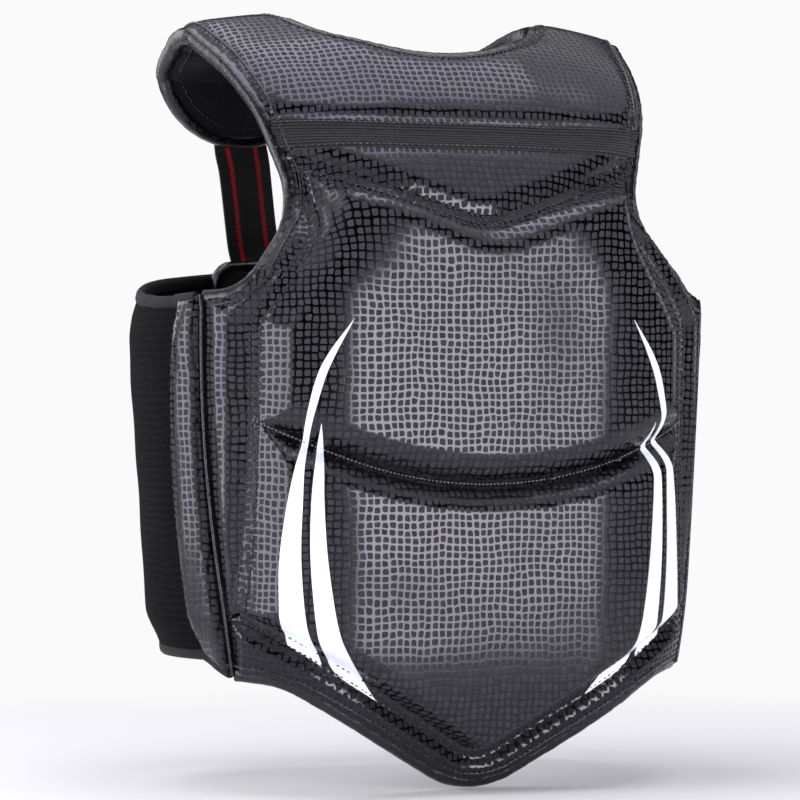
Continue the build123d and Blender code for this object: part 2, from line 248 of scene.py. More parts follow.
def makeObject(name, points, faces, uv=None, material=None, sharp=50):
    mesh = bpy.data.meshes.new(name)
    mesh.from_pydata((np.asarray(points) * mm).tolist(), [], [list(map(int, f)) for f in faces])
    if uv is not None:
        layer = mesh.uv_layers.new(name="UVMap")
        corner = np.zeros(len(mesh.loops), np.int32)
        mesh.loops.foreach_get("vertex_index", corner)
        layer.data.foreach_set("uv", np.asarray(uv, np.float32)[corner].ravel())
    mesh.polygons.foreach_set("use_smooth", [True] * len(mesh.polygons))
    mesh.set_sharp_from_angle(angle=math.radians(sharp))
    if material:
        mesh.materials.append(material)
    mesh.update()
    piece = bpy.data.objects.new(name, mesh)
    bpy.context.scene.collection.objects.link(piece)
    return piece


def fillOutline(outline, spacing, fine, band):
    # fills an outline with nearly even triangles, finer in a band along its edge
    low, high = outline.min(0), outline.max(0)
    grid = []
    for step, nearest, furthest in ((fine, fine * 0.6, band), (spacing, band + spacing * 0.4, 1e9)):
        height = step * math.sqrt(0.75)
        rows = [[(u, v) for u in np.arange(low[0] + (row % 2) * step / 2, high[0], step)]
                for row, v in enumerate(np.arange(low[1] + height / 2, high[1], height))]
        spots = np.array(sum(rows, []))
        spots = spots[inside(spots, outline)]
        gap, _ = edgeDistance(spots, outline)
        grid.append(spots[(gap > nearest) & (gap <= furthest)])
    grid = np.vstack(grid)
    count = len(outline)
    edges = [(i, (i + 1) % count) for i in range(count)]
    points = [Vector(p) for p in np.vstack([outline, grid])]
    found = delaunay_2d_cdt(points, edges, [], 1, 1e-5)
    return np.array([tuple(p) for p in found[0]]), [list(f) for f in found[2]]


def closedFaces(flat, faces):
    # the faces of a closed shell whose top and bottom are both filled like this flat shape
    count = len(flat)
    a, b, c = (flat[[f[k] for f in faces]] for k in range(3))
    top = [f if area > 0 else f[::-1] for f, area in zip(faces, np.cross(b - a, c - a))]
    edges = {(f[k], f[(k + 1) % 3]) for f in top for k in range(3)}
    walls = [(j, i, i + count, j + count) for i, j in sorted(edges) if (j, i) not in edges]
    return top + [[i + count for i in f[::-1]] for f in top] + walls


def slab(name, place, outline, lift, under, material, spacing=4.0, uvOf=None, fine=2.0, band=0.0,
         plainAndShadedBy=None):
    # a closed panel on a surface: lift and under give its two faces as functions of (u, v),
    # and beside the given seam line its cells take the net's black colour and gloss while their relief stays:
    # partly a plain band, partly painted shade in the seam's valley
    flat, faces = fillOutline(outline, spacing, fine if band else spacing, max(band, spacing))
    u, v = flat[:, 0], flat[:, 1]
    top, _ = onSurface(place, u, v, lift(u, v))
    bottom, _ = onSurface(place, u, v, under(u, v))
    uv = np.stack(uvOf(u, v) if uvOf else (u, v), axis=1)
    piece = makeObject(name, np.vstack([top, bottom]), closedFaces(flat, faces), np.vstack([uv, uv]),
                       material)
    if plainAndShadedBy is not None:
        # how far the cells here turn to the net's black: painted shade in the valley beside the seam, and
        # partly a plain band
        gap, _ = edgeDistance(flat, plainAndShadedBy, closed=False)
        plain = piece.data.attributes.new("plainAndShadedSkin", "FLOAT", "POINT")
        plain.data.foreach_set("value", np.tile(np.clip(1.7 - gap / 4.5, 0, 1), 2).astype(np.float32))
    return piece


def sweep(name, line, normals, shape, material, closed=False, crinkle=0.0, seed=1):
    # carries a closed cross-section, given as (outward across, up) points, along a line
    line, shape = np.asarray(line, float), np.asarray(shape, float)
    if closed:
        tangent = np.roll(line, -1, axis=0) - np.roll(line, 1, axis=0)
    else:
        tangent = np.gradient(line, axis=0)
    tangent /= np.linalg.norm(tangent, axis=1)[:, None]
    across = np.cross(tangent, normals)
    across /= np.linalg.norm(across, axis=1)[:, None]
    up = np.cross(across, tangent)
    along = np.concatenate([[0], np.cumsum(np.linalg.norm(np.diff(line, axis=0), axis=1))])
    count, size = len(line), len(shape)
    rim = np.concatenate([[0], np.cumsum(np.linalg.norm(np.diff(shape, axis=0), axis=1))])
    rows = []
    for k, (b, n) in enumerate(shape):
        grow = 1 + crinkle * (wobble(along, 0 * along + rim[k] * 1.5, 9, seed)
                              + 0.7 * wobble(along, 0 * along + rim[k] * 2.0, 4, seed + 1))
        rows.append(line + across * (b * grow)[:, None] + up * (n * grow)[:, None])
    points = np.stack(rows, axis=1).reshape(-1, 3)
    faces = []
    for i in range(count if closed else count - 1):
        for k in range(size):
            j, m = (i + 1) % count, (k + 1) % size
            faces.append((i * size + k, i * size + m, j * size + m, j * size + k))
    if not closed:
        faces += [list(range(size))[::-1], [(count - 1) * size + k for k in range(size)]]
    uv = np.stack([np.repeat(along, size), np.tile(rim, count)], axis=1)
    piece = makeObject(name, points, faces, uv, material, sharp=70)
    facesOut(piece)
    return piece


def facesOut(piece):
    work = bmesh.new()
    work.from_mesh(piece.data)
    bmesh.ops.recalc_face_normals(work, faces=work.faces)
    work.to_mesh(piece.data)
    work.free()


def rounded(width, height, power=2.6, count=16, shift=0.0):
    # a rounded oblong cross-section, as (across, up)
    turn = np.linspace(0, math.tau, count, endpoint=False)
    c, s = np.cos(turn), np.sin(turn)
    return np.stack([np.sign(c) * np.abs(c) ** (2 / power) * width / 2 + shift,
                     np.sign(s) * np.abs(s) ** (2 / power) * height / 2], axis=1)


def joined(name, pieces):
    # several meshes as one object
    bpy.ops.object.select_all(action="DESELECT")
    for piece in pieces:
        piece.select_set(True)
    bpy.context.view_layer.objects.active = pieces[0]
    bpy.ops.object.join()
    pieces[0].name = name
    pieces[0].data.name = name
    return pieces[0]


# ---- outlines of the front, going round each panel with the panel on the left

panels = {
    "yokeCorner": (109, -83), "yokePoint": -118.5, "yokeRound": 42,
    "padWaist": (104, -122), "waistRound": 26, "padShoulder": (141, -178), "shoulderRound": 16,
    "midSeam": (141, -236), "midSeamDrop": -274,
    "padFoot": (146, -351), "padHip": (142.5, -300), "padPoint": -439, "padPointRound": 22,
    "armhole": [(170, -160), (150, -160), (112, -110), (126.3, -60)], "armholeRadii": [25, 45],
    "shoulderOuter": 147, "tongueInner": 37, "neck": (85, 61, 22),   # half width, half depth, centre
    "hem": [(-245, -379), (-125, -391), (0, -464.25), (125, -391), (245, -379)],
    "hemRadii": [60, 55, 60],
    # the side seams: the angle at the belt's bottom and at its top, and how far they bow outwards
    "piping": (51.5, 58, 4.3), "mesh": (66, 70, 4.0),
}


def sideX(z, angle):
    width, radius = section(np.asarray(z, float))
    return width - radius + radius * math.sin(math.radians(angle))


def slantX(z, seam):
    # a side seam runs from its place at the belt's bottom to its place at the top, a little bowed
    bottom, top = torso["beltBottom"], torso["beltTop"]
    low, high = float(sideX(bottom, seam[0])), float(sideX(top, seam[1]))
    share = (np.asarray(z, float) - bottom) / (top - bottom)
    return low + (high - low) * share + seam[2] * 4 * share * (1 - share)


def pipingX(z):
    return slantX(z, panels["piping"])


def rowAt(x, z):
    # the row at which the skin, which falls away to the sides, reaches this height
    x, z = np.broadcast_arrays(np.asarray(x, float), np.asarray(z, float))
    row = rowOfZ(z)
    for _ in range(10):
        row = row + z - frontPlace(x, row)[..., 2]
    return row


def toRows(line):
    # a line given as (x, z) in the front's own (u, v)
    line = evenly(line, 2)
    return np.stack([line[:, 0], rowAt(line[:, 0], line[:, 1])], axis=1)


def neckLine(first, last):
    halfWidth, halfDepth, middle = panels["neck"]
    turn = np.radians(np.arange(first, last, -1.5 if last < first else 1.5))
    return np.stack([halfWidth * np.sin(turn), rowOfY(middle - halfDepth * np.cos(turn))], axis=1)


crestRowHere = float(rowOfY(torso["crestY"]))
tongueRadius = (panels["shoulderOuter"] - panels["tongueInner"]) / 2
tongueMiddle = (panels["shoulderOuter"] + panels["tongueInner"]) / 2
tongueCentre = float(rowOfBackZ(torso["tongueEnd"])) - tongueRadius

vSeam = toRows(filletPath([panels["yokeCorner"], (0, panels["yokePoint"]),
                           mirrored([panels["yokeCorner"]])[0]], [panels["yokeRound"]], 2))
padSide = toRows(filletPath([panels["midSeam"], panels["padShoulder"], panels["padWaist"],
                             panels["yokeCorner"]], [panels["shoulderRound"], panels["waistRound"]], 2))
middleArc = [(x, panels["midSeamDrop"] + (panels["midSeam"][1] - panels["midSeamDrop"])
              * (x / panels["midSeam"][0]) ** 2) for x in np.linspace(-panels["midSeam"][0],
                                                                   panels["midSeam"][0], 120)]
midSeam = toRows(middleArc)
footSeam = toRows(filletPath([mirrored([panels["padFoot"]])[0], (0, panels["padPoint"]),
                              panels["padFoot"]], [panels["padPointRound"]], 2))
padLower = toRows(smoothLine([panels[key] for key in ("padFoot", "padHip", "midSeam")]))

armholeLow = toRows(filletPath(panels["armhole"], panels["armholeRadii"], 2))
armholeLow = armholeLow[armholeLow[:, 0] <= pipingX(torso["beltTop"]) + 0.01]
armholeHigh = smoothLine([armholeLow[-1], (133, rowAt(133, -36)), (140, rowAt(140, -14)), (145.5, rowOfY(0)),
                          (panels["shoulderOuter"], crestRowHere),
                          (panels["shoulderOuter"], tongueCentre)])
tongueTurn = np.radians(np.arange(0, 141, 3))
tongueRound = np.stack([tongueMiddle + tongueRadius * np.cos(tongueTurn),
                        tongueCentre + tongueRadius * np.sin(tongueTurn)], axis=1)
armEdge = evenly(np.vstack([armholeLow, armholeHigh[1:], tongueRound[1:], neckLine(144, 90)]), 2)
neckEdge = evenly(neckLine(90, -90.5), 2)
hemLine = toRows(filletPath(panels["hem"], panels["hemRadii"], 2))
hemEdge = evenly(hemLine[np.abs(hemLine[:, 0]) <= pipingX(torso["beltBottom"])], 2)
sideEdge = toRows([(pipingX(z), z) for z in np.arange(torso["beltBottom"] - 4, torso["beltTop"], 4)])
frontOutline = np.vstack([hemEdge, sideEdge, armEdge, neckEdge[1:-1], mirrored(armEdge)[::-1],
                          mirrored(sideEdge)[::-1]])

cutRow = float(vSeam[0][1])
highArm = armEdge[np.argmax(armEdge[:, 1] > cutRow):]
lowArm = armEdge[:np.argmax(armEdge[:, 1] > cutRow)]
footZ = panels["padFoot"][1]
hemSide = toRows([(pipingX(z), z) for z in (footZ - 24, footZ - 12, footZ - 3)])
outlines = {
    "yoke": np.vstack([vSeam[::-1][:-1], evenly([vSeam[0], (highArm[0][0], cutRow)], 3)[:-1], highArm,
                       neckEdge[1:-1], mirrored(highArm)[::-1],
                       evenly([(-highArm[0][0], cutRow), vSeam[-1]], 3)[1:]]),
    "chest": np.vstack([midSeam, padSide[1:-1], vSeam, mirrored(padSide)[::-1][1:-1]]),
    "abdomen": np.vstack([evenly(footSeam, 2.5), evenly(padLower, 2.5)[1:-1], midSeam[::-1],
                          evenly(mirrored(padLower)[::-1], 2.5)[1:-1]]),
    "hem": np.vstack([hemEdge, hemSide, evenly(footSeam, 2.5)[::-1], mirrored(hemSide)[::-1]]),
}
flankSide = toRows([(pipingX(z), z) for z in np.arange(footZ, torso["beltTop"], 4)])
outlines["flank"] = np.vstack([evenly(padLower[::-1], 2.5)[:-1], flankSide, lowArm,
                               [(lowArm[-1][0] - 1, cutRow)], padSide[::-1][:-1]])
print("outlines ready")


# ---- heights of the padding above the skin

tape = {"z": -67, "width": 18, "thick": 1.2, "pinch": 2.0, "reach": 11}
skin = {"plateau": 2.4, "edge": -2.6, "edgeWidth": 17, "wave": 0.45}
pads = {"rise": 8.0, "fill": 10.0, "tilt": 3 / 237}
seamShapes = {   # depth of the seam, half width of its flat land, width of the slope beside it, and pucker
    "yoke": {"depth": -3.0, "land": 3.5, "width": 20, "skinWidth": 11, "pucker": 0.22},
    "side": {"depth": -2.2, "land": 3.4, "width": 20, "skinWidth": 9, "pucker": 0.2, "bevel": 0.8},
    "mid": {"depth": -5.5, "land": 0.8, "width": 18, "pucker": 0.10, "shallow": 3.3},
    "midLow": {"depth": -5.5, "land": 0.8, "width": 16, "pucker": 0.10, "shallow": 3.3},
    "foot": {"depth": -3.0, "land": 3.4, "width": 13, "skinWidth": 9, "pucker": 0.3},
    "piping": {"depth": -2.6, "land": 0.6, "skinWidth": 8, "pucker": 0.2},
    "hemSide": {"depth": 0.6, "land": 0.4, "skinWidth": 5, "pucker": 0.2},
}
puckers = {"pitch": 5.4, "reach": 4.5}


def bevelled(share):
    # an even slope that turns level over its last third
    turn = 0.35
    over = np.clip((share - (1 - turn)) / turn, 0, 1)
    return (np.minimum(share, 1 - turn) + turn * (over - over ** 2 / 2)) / (1 - turn / 2)


def seamRise(points, line, shape, rise, width, seed=1):
    # the skin's height beside a seam: low and puckered at the stitches, and full further away
    gap, place = edgeDistance(points, line, closed=False)
    past = np.clip(gap - shape["land"], 0, None)
    depth = shape["depth"] + shape.get("shallow", 0) * ease((np.abs(points[:, 0]) - 90) / 45)
    share = np.clip(past / width, 0, 1)
    bevel = shape.get("bevel", 0)
    slope = np.sin(share * math.pi / 2) * (1 - bevel) + bevel * bevelled(share)
    height = depth + (rise - depth) * slope
    waves = np.sin(place * math.tau / puckers["pitch"] + 2.5 * wobble(place, 0 * place, 24, seed))
    strength = shape["pucker"] * (0.6 + 0.5 * wobble(place, 0 * place, 45, seed + 1))
    return height + strength * waves * np.exp(-(past / puckers["reach"]) ** 2)


def padFill(v):
    # keeps a pad's face upright where the skin under it leans back
    y, z = np.interp(v, profileS, profile[:, 0]), np.interp(v, profileS, profile[:, 1])
    wall = sideView["points"][1][0] - (z - sideView["points"][1][1]) * pads["tilt"]
    lean = np.interp(v, profileS, np.abs(profileTangent[:, 1]))
    fill = (pads["rise"] + y - wall) / np.clip(lean, 0.3, 1) - pads["rise"]
    return pads["fill"] * np.tanh(np.clip(fill, 0, None) / pads["fill"])


def padLift(lines, seed):
    def lift(u, v):
        points = np.stack([u, v], axis=1)
        rise = pads["rise"] + padFill(v) + 0.3 * wobble(u, v, 70, seed)
        return np.min([seamRise(points, line, seamShapes[name], rise, seamShapes[name]["width"], seed + 3 * k)
                       for k, (name, line) in enumerate(lines)], axis=0)
    return lift


def thin(u, v):
    # the inner face of the padding, which comes nearer to the skin along the free edges
    gap, _ = edgeDistance(np.stack([u, v], axis=1), frontOutline[::2])
    return -12.6 + 3.4 * np.exp(-(gap / 11) ** 2)


sideSeams = [padSide, mirrored(padSide), padLower, mirrored(padLower)]
pipingLines = [sideEdge, mirrored(sideEdge)]
hemSides = [toRows([(side * panels["padFoot"][0], footZ), (side * pipingX(footZ), footZ)])
            for side in sides.values()]
seamLines = ([("yoke", vSeam), ("foot", footSeam)] + [("side", line) for line in sideSeams]
             + [("piping", line) for line in pipingLines] + [("hemSide", line) for line in hemSides])
freeEdges = [hemEdge, armEdge, neckEdge, mirrored(armEdge)]


def skinLift(u, v):
    # one height for the yoke, the flanks and the hem, so that they meet level
    points = np.stack([u, v], axis=1)
    plateau = skin["plateau"] + skin["wave"] * wobble(u, v, 60, 7)
    near = [edgeDistance(points, edge[::2], closed=False) for edge in freeEdges]
    gap = np.min([one[0] for one in near], axis=0)
    place = np.choose(np.argmin([one[0] for one in near], axis=0), [one[1] for one in near])
    height = skin["edge"] + (plateau - skin["edge"]) * np.sin(np.clip(gap / skin["edgeWidth"], 0, 1)
                                                             * math.pi / 2)
    waves = np.sin(place * math.tau / 4.8 + 2 * wobble(place, 0 * place, 20, 6))
    height += 0.3 * waves * np.exp(-((gap - 9.5) / 3.5) ** 2)
    return np.min([height] + [seamRise(points, line, seamShapes[name], plateau,
                                       seamShapes[name]["skinWidth"], 11 + 3 * k)
                              for k, (name, line) in enumerate(seamLines)], axis=0)


def yokeLift(u, v):
    # the same, drawn in by the tape, with the leather gathered into small pleats above it
    row = rowAt(u, tape["z"])
    pinched = tape["pinch"] * np.exp(-((v - row) / tape["reach"]) ** 2) * (v < crestRowHere)
    above = v - row - tape["width"] / 2
    pleats = np.sin(u * math.tau / 5.6 + 3 * wobble(u, 0 * u, 30, 5))
    gathered = 0.5 * np.exp(-(above / 1.5) ** 2) * (1 + 0.6 * pleats)
    gathered -= 1.8 * np.exp(-((above - 5) / 3.2) ** 2) * (1 + 0.35 * pleats) * (v < crestRowHere)
    return skinLift(u, v) - pinched + gathered


# ---- materials

def linear(colour):
    # an sRGB hex colour in the linear values that Blender mixes
    parts = [int(colour[k:k + 2], 16) / 255 for k in (1, 3, 5)]
    return tuple(c / 12.92 if c <= 0.04045 else ((c + 0.055) / 1.055) ** 2.4 for c in parts) + (1.0,)


def setInputs(node, inputs):
    # fills or links a node's inputs, given by name, or in order as a tuple
    for name, value in (inputs.items() if isinstance(inputs, dict) else enumerate(inputs)):
        if isinstance(value, bpy.types.NodeSocket):
            node.id_data.links.new(value, node.inputs[name])
        else:
            node.inputs[name].default_value = linear(value) if isinstance(value, str) else value


def addNode(tree, kind, inputs=(), out=0, **settings):
    # adds a node with its settings and links, and gives back one of its outputs
    node = tree.nodes.new(kind)
    for name, value in settings.items():
        setattr(node, name, value)
    setInputs(node, inputs)
    return node.outputs[out] if len(node.outputs) else node


def newMaterial(name, inputs):
    material = bpy.data.materials.new(name)
    material.use_nodes = True
    shader = material.node_tree.nodes["Principled BSDF"]
    setInputs(shader, inputs)
    return material, material.node_tree, shader


embossed = {"pitch": 4.45, "irregular": 0.22, "drift": 5.0, "cell": "#333136", "cellDark": "#28272b",
            "net": "#030304", "cellRoughness": 0.95, "netRoughness": 0.19, "specular": 0.55,
            "tint": "#eeecf8", "roundness": 2.6, "depth": 0.2}


def embossedLeather(name="embossedLeather", cell=embossed["cell"], cellDark=embossed["cellDark"]):
    # polyurethane leather, embossed with rounded cells: the cells are matte, the net between is glossy
    material, tree, shader = newMaterial(name, {"Specular IOR Level": embossed["specular"],
                                                "Specular Tint": embossed["tint"]})
    uv = addNode(tree, "ShaderNodeUVMap", uv_map="UVMap")
    drift = addNode(tree, "ShaderNodeTexNoise", {"Vector": uv, "Scale": 0.035, "Detail": 1.0}, "Color")
    shift = addNode(tree, "ShaderNodeVectorMath", (drift, (0.5, 0.5, 0.5)), operation="SUBTRACT")
    moved = addNode(tree, "ShaderNodeVectorMath", {0: shift, "Scale": embossed["drift"]}, operation="SCALE")
    place = addNode(tree, "ShaderNodeVectorMath", (uv, moved), operation="ADD")
    cells = {"Vector": place, "Scale": 1 / embossed["pitch"], "Randomness": embossed["irregular"]}
    nearest = addNode(tree, "ShaderNodeTexVoronoi", {**cells, "Exponent": embossed["roundness"]},
                      voronoi_dimensions="2D", feature="F1", distance="MINKOWSKI")
    edge = addNode(tree, "ShaderNodeTexVoronoi", cells, voronoi_dimensions="2D", feature="DISTANCE_TO_EDGE")
    middle = addNode(tree, "ShaderNodeMapRange", (nearest, 0.43, 0.365), interpolation_type="SMOOTHSTEP")
    clear = addNode(tree, "ShaderNodeMapRange", (edge, 0.11, 0.165), interpolation_type="SMOOTHSTEP")
    # beside the middle seam the cells give way to the net's black and gloss: painted shade in the valley
    # there, partly a plain band
    plain = addNode(tree, "ShaderNodeAttribute", out="Fac", attribute_name="plainAndShadedSkin")
    shown = addNode(tree, "ShaderNodeMath", (clear, plain), operation="SUBTRACT", use_clamp=True)
    mask = addNode(tree, "ShaderNodeMath", (middle, shown), operation="MULTIPLY")
    tone = addNode(tree, "ShaderNodeSeparateColor", (nearest.node.outputs["Color"],))
    shade = addNode(tree, "ShaderNodeMix", {0: tone, 6: cellDark, 7: cell}, 2, data_type="RGBA")
    colour = addNode(tree, "ShaderNodeMix", {0: mask, 6: embossed["net"], 7: shade}, 2, data_type="RGBA")
    rough = addNode(tree, "ShaderNodeMapRange", (mask, 0.0, 1.0, embossed["netRoughness"],
                                                 embossed["cellRoughness"]))
    dome = addNode(tree, "ShaderNodeMapRange", (nearest, 0.46, 0.26), interpolation_type="SMOOTHSTEP")
    groove = addNode(tree, "ShaderNodeMapRange", (edge, 0.09, 0.26), interpolation_type="SMOOTHSTEP")
    raised = addNode(tree, "ShaderNodeMath", (dome, groove), operation="MULTIPLY")
    grain = addNode(tree, "ShaderNodeTexNoise", {"Vector": uv, "Scale": 1.6, "Detail": 3.0})
    height = addNode(tree, "ShaderNodeMath", (grain, 0.1, raised), operation="MULTIPLY_ADD")
    bump = addNode(tree, "ShaderNodeBump", {"Distance": embossed["depth"] * mm, "Height": height})
    setInputs(shader, {"Base Color": colour, "Roughness": rough, "Normal": bump})
    return material


gloss = {"colour": "#0b0b0d", "roughness": 0.2, "specular": 0.6, "crease": 0.6, "creaseSize": 4.5,
         "grainSize": 0.45, "patchSize": 12.5}


def glossLeather(name):
    # smooth coated leather, turned over and sewn as an edge binding: glossy, with fine creases
    material, tree, shader = newMaterial(name, {"Base Color": gloss["colour"],
                                                "Specular Tint": embossed["tint"],
                                                "Specular IOR Level": gloss["specular"]})
    place = addNode(tree, "ShaderNodeTexCoord", out="Object")
    creases = addNode(tree, "ShaderNodeTexNoise", {"Vector": place, "Scale": 1 / (gloss["creaseSize"] * mm),
                                                   "Detail": 4.0, "Roughness": 0.6})
    fine = addNode(tree, "ShaderNodeTexVoronoi", {"Vector": place, "Scale": 1 / (gloss["grainSize"] * mm)})
    height = addNode(tree, "ShaderNodeMath", (fine, 0.12, creases), operation="MULTIPLY_ADD")
    bump = addNode(tree, "ShaderNodeBump", {"Distance": gloss["crease"] * mm, "Height": height})
    patches = addNode(tree, "ShaderNodeTexNoise", {"Vector": place, "Scale": 1 / (gloss["patchSize"] * mm),
                                                   "Detail": 3.0})
    rough = addNode(tree, "ShaderNodeMapRange", (patches, 0.35, 0.65, gloss["roughness"] * 0.75,
                                                 gloss["roughness"] * 1.35))
    setInputs(shader, {"Roughness": rough, "Normal": bump})
    return material


def ribWaves(tree, way, length):
    # a sine wave along a distance, with one turn to each length
    turn = addNode(tree, "ShaderNodeMath", (way, math.tau / length), operation="MULTIPLY")
    return addNode(tree, "ShaderNodeMath", (turn,), operation="SINE")


def wovenCloth(name, dark, light, across, along, depth=0.15, twill=False, ribbed=False):
    # dyed polyester cloth, woven plain, ribbed or as a twill: matte, with its threads showing.
    # across and along are the thread spacings in millimetres
    material, tree, shader = newMaterial(name, {"Roughness": 0.8, "Sheen Weight": 0.1,
                                                "Specular IOR Level": 0.15})
    uv = addNode(tree, "ShaderNodeUVMap", uv_map="UVMap")
    u = addNode(tree, "ShaderNodeSeparateXYZ", (uv,))
    v = u.node.outputs[1]
    if twill:
        u, v = (addNode(tree, "ShaderNodeMath", (u, v), operation=kind) for kind in ("ADD", "SUBTRACT"))
    warp, weft = ribWaves(tree, u, across), ribWaves(tree, v, along)
    if twill or ribbed:
        weave = addNode(tree, "ShaderNodeMath", (warp, 0.25, weft), operation="MULTIPLY_ADD")
    else:
        weave = addNode(tree, "ShaderNodeMath", (warp, weft), operation="MULTIPLY")
    fuzz = addNode(tree, "ShaderNodeTexNoise", {"Vector": uv, "Scale": 0.9, "Detail": 4.0})
    height = addNode(tree, "ShaderNodeMath", (weave, fuzz), operation="ADD")
    share = addNode(tree, "ShaderNodeMapRange", (height, -0.6, 1.6), interpolation_type="SMOOTHSTEP")
    colour = addNode(tree, "ShaderNodeMix", {0: share, 6: dark, 7: light}, 2, data_type="RGBA")
    bump = addNode(tree, "ShaderNodeBump", {"Distance": depth * mm, "Height": height})
    setInputs(shader, {"Base Color": colour, "Normal": bump})
    return material


elastic = {"stripe": 9.5, "stripeHalf": 1.5, "ribPitch": 1.3, "rowPitch": 1.5, "depth": 0.12,
           "black": ("#0a0a0b", "#191919"), "red": ("#a00e11", "#cc1c20")}


def stripedElastic():
    # woven elastic: matte, with fine cross ribs and two red stripes dyed into the warp
    material, tree, shader = newMaterial("stripedElastic", {"Roughness": 0.75})
    along = addNode(tree, "ShaderNodeSeparateXYZ", (addNode(tree, "ShaderNodeUVMap", uv_map="UVMap"),))
    across = along.node.outputs[1]
    ribs = ribWaves(tree, along, elastic["ribPitch"])
    rows = ribWaves(tree, across, elastic["rowPitch"])
    height = addNode(tree, "ShaderNodeMath", (rows, 0.6, ribs), operation="MULTIPLY_ADD")
    share = addNode(tree, "ShaderNodeMapRange", (height, -1.4, 1.4), interpolation_type="SMOOTHSTEP")
    black, red = (addNode(tree, "ShaderNodeMix", {0: share, 6: low, 7: high}, 2, data_type="RGBA")
                  for low, high in (elastic["black"], elastic["red"]))
    out = addNode(tree, "ShaderNodeMath", (across,), operation="ABSOLUTE")
    past = addNode(tree, "ShaderNodeMath", (out, elastic["stripe"]), operation="SUBTRACT")
    away = addNode(tree, "ShaderNodeMath", (past,), operation="ABSOLUTE")
    isRed = addNode(tree, "ShaderNodeMapRange", (away, elastic["stripeHalf"] + 0.2,
                                                 elastic["stripeHalf"] - 0.2))
    colour = addNode(tree, "ShaderNodeMix", {0: isRed, 6: black, 7: red}, 2, data_type="RGBA")
    bump = addNode(tree, "ShaderNodeBump", {"Distance": elastic["depth"] * mm, "Height": height})
    setInputs(shader, {"Base Color": colour, "Normal": bump})
    return material


knit = {"rib": 4.6, "tick": 1.9, "wave": 6.0, "waveSize": 17, "depth": 0.6, "thread": "#101115",
        "hole": "#040405"}


def spacerMesh():
    # knitted polyester spacer mesh: matte, with wavy level ribs and small open stitches between them
    material, tree, shader = newMaterial("spacerMesh", {"Roughness": 0.8, "Specular IOR Level": 0.06})
    uv = addNode(tree, "ShaderNodeUVMap", uv_map="UVMap")
    u = addNode(tree, "ShaderNodeSeparateXYZ", (uv,))
    waves = addNode(tree, "ShaderNodeTexNoise", {"Vector": uv, "Scale": 1 / knit["waveSize"], "Detail": 2.0})
    v = addNode(tree, "ShaderNodeMath", (waves, knit["wave"], u.node.outputs[1]), operation="MULTIPLY_ADD")
    ribs, ticks = (addNode(tree, "ShaderNodeMath", (ribWaves(tree, way, 2 * pitch),), operation="ABSOLUTE")
                   for way, pitch in ((v, knit["rib"]), (u, knit["tick"])))
    rib = addNode(tree, "ShaderNodeMath", (ribs, 0.35), operation="POWER")
    open, between = (addNode(tree, "ShaderNodeMapRange", (value, low, high), interpolation_type="SMOOTHSTEP")
                     for value, low, high in ((ticks, 0.35, 0.75), (rib, 0.55, 0.9)))
    holes = addNode(tree, "ShaderNodeMath", (open, between), operation="MULTIPLY")
    colour = addNode(tree, "ShaderNodeMix", {0: holes, 6: knit["thread"], 7: knit["hole"]}, 2,
                     data_type="RGBA")
    height = addNode(tree, "ShaderNodeMath", (holes, -0.5, rib), operation="MULTIPLY_ADD")
    bump = addNode(tree, "ShaderNodeBump", {"Distance": knit["depth"] * mm, "Height": height})
    setInputs(shader, {"Base Color": colour, "Normal": bump})
    return material


def plainMaterial(name, colour, roughness, grain, size):
    # one colour, with a surface grain of this depth and size in millimetres
    material, tree, shader = newMaterial(name, {"Base Color": colour, "Roughness": roughness})
    place = addNode(tree, "ShaderNodeTexCoord", out="Object")
    noise = addNode(tree, "ShaderNodeTexNoise", {"Vector": place, "Scale": 1 / (size * mm), "Detail": 3.0})
    setInputs(shader, {"Normal": addNode(tree, "ShaderNodeBump", {"Distance": grain * mm, "Height": noise})})
    return material


embossedSkin = embossedLeather()
# the hem band is the same embossed leather painted darker: painted shade on the low band
shadedHemSkin = embossedLeather("embossedLeatherHemShaded", "#18181c", "#111114")
bindingSkin = glossLeather("bindingLeather")
sideBindingCloth = wovenCloth("sideBindingCloth", "#0c0d11", "#17181d", 0.9, 0.9)
liningCloth = wovenCloth("twillLining", "#08080a", "#151619", 1.6, 1.6, twill=True)
tapeCloth = wovenCloth("wovenTape", "#0b0b0d", "#38383a", 2.2, 1.8, depth=0.5, ribbed=True)
elasticCloth = stripedElastic()
meshCloth = spacerMesh()
# screen-printed vinyl film, bonded nylon thread, and brushed and moulded hook and loop
whitePrint = plainMaterial("whitePrint", "#e9f1fb", 0.42, 0.03, 1.5)
blackThread = plainMaterial("blackThread", "#26262b", 0.25, 0.05, 0.4)
# the middle seam's thread is painted light grey: a painted highlight standing for the glints along that seam
paintedGlintThread = plainMaterial("paintedGlintThread", "#5c5c62", 0.25, 0.05, 0.4)
loopPile = plainMaterial("loopPile", "#0e0e10", 0.95, 0.9, 0.9)
hookPile = plainMaterial("hookPile", "#121214", 0.7, 0.7, 1.6)
print("materials ready")


# ---- the front's panels

def frontUv(u, v):
    return aroundFront(u, v), v


def finishPiece(piece, body, slotName, *nodes, fill=None):
    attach(piece, body)
    if nodes:
        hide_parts(*nodes)
    return piece


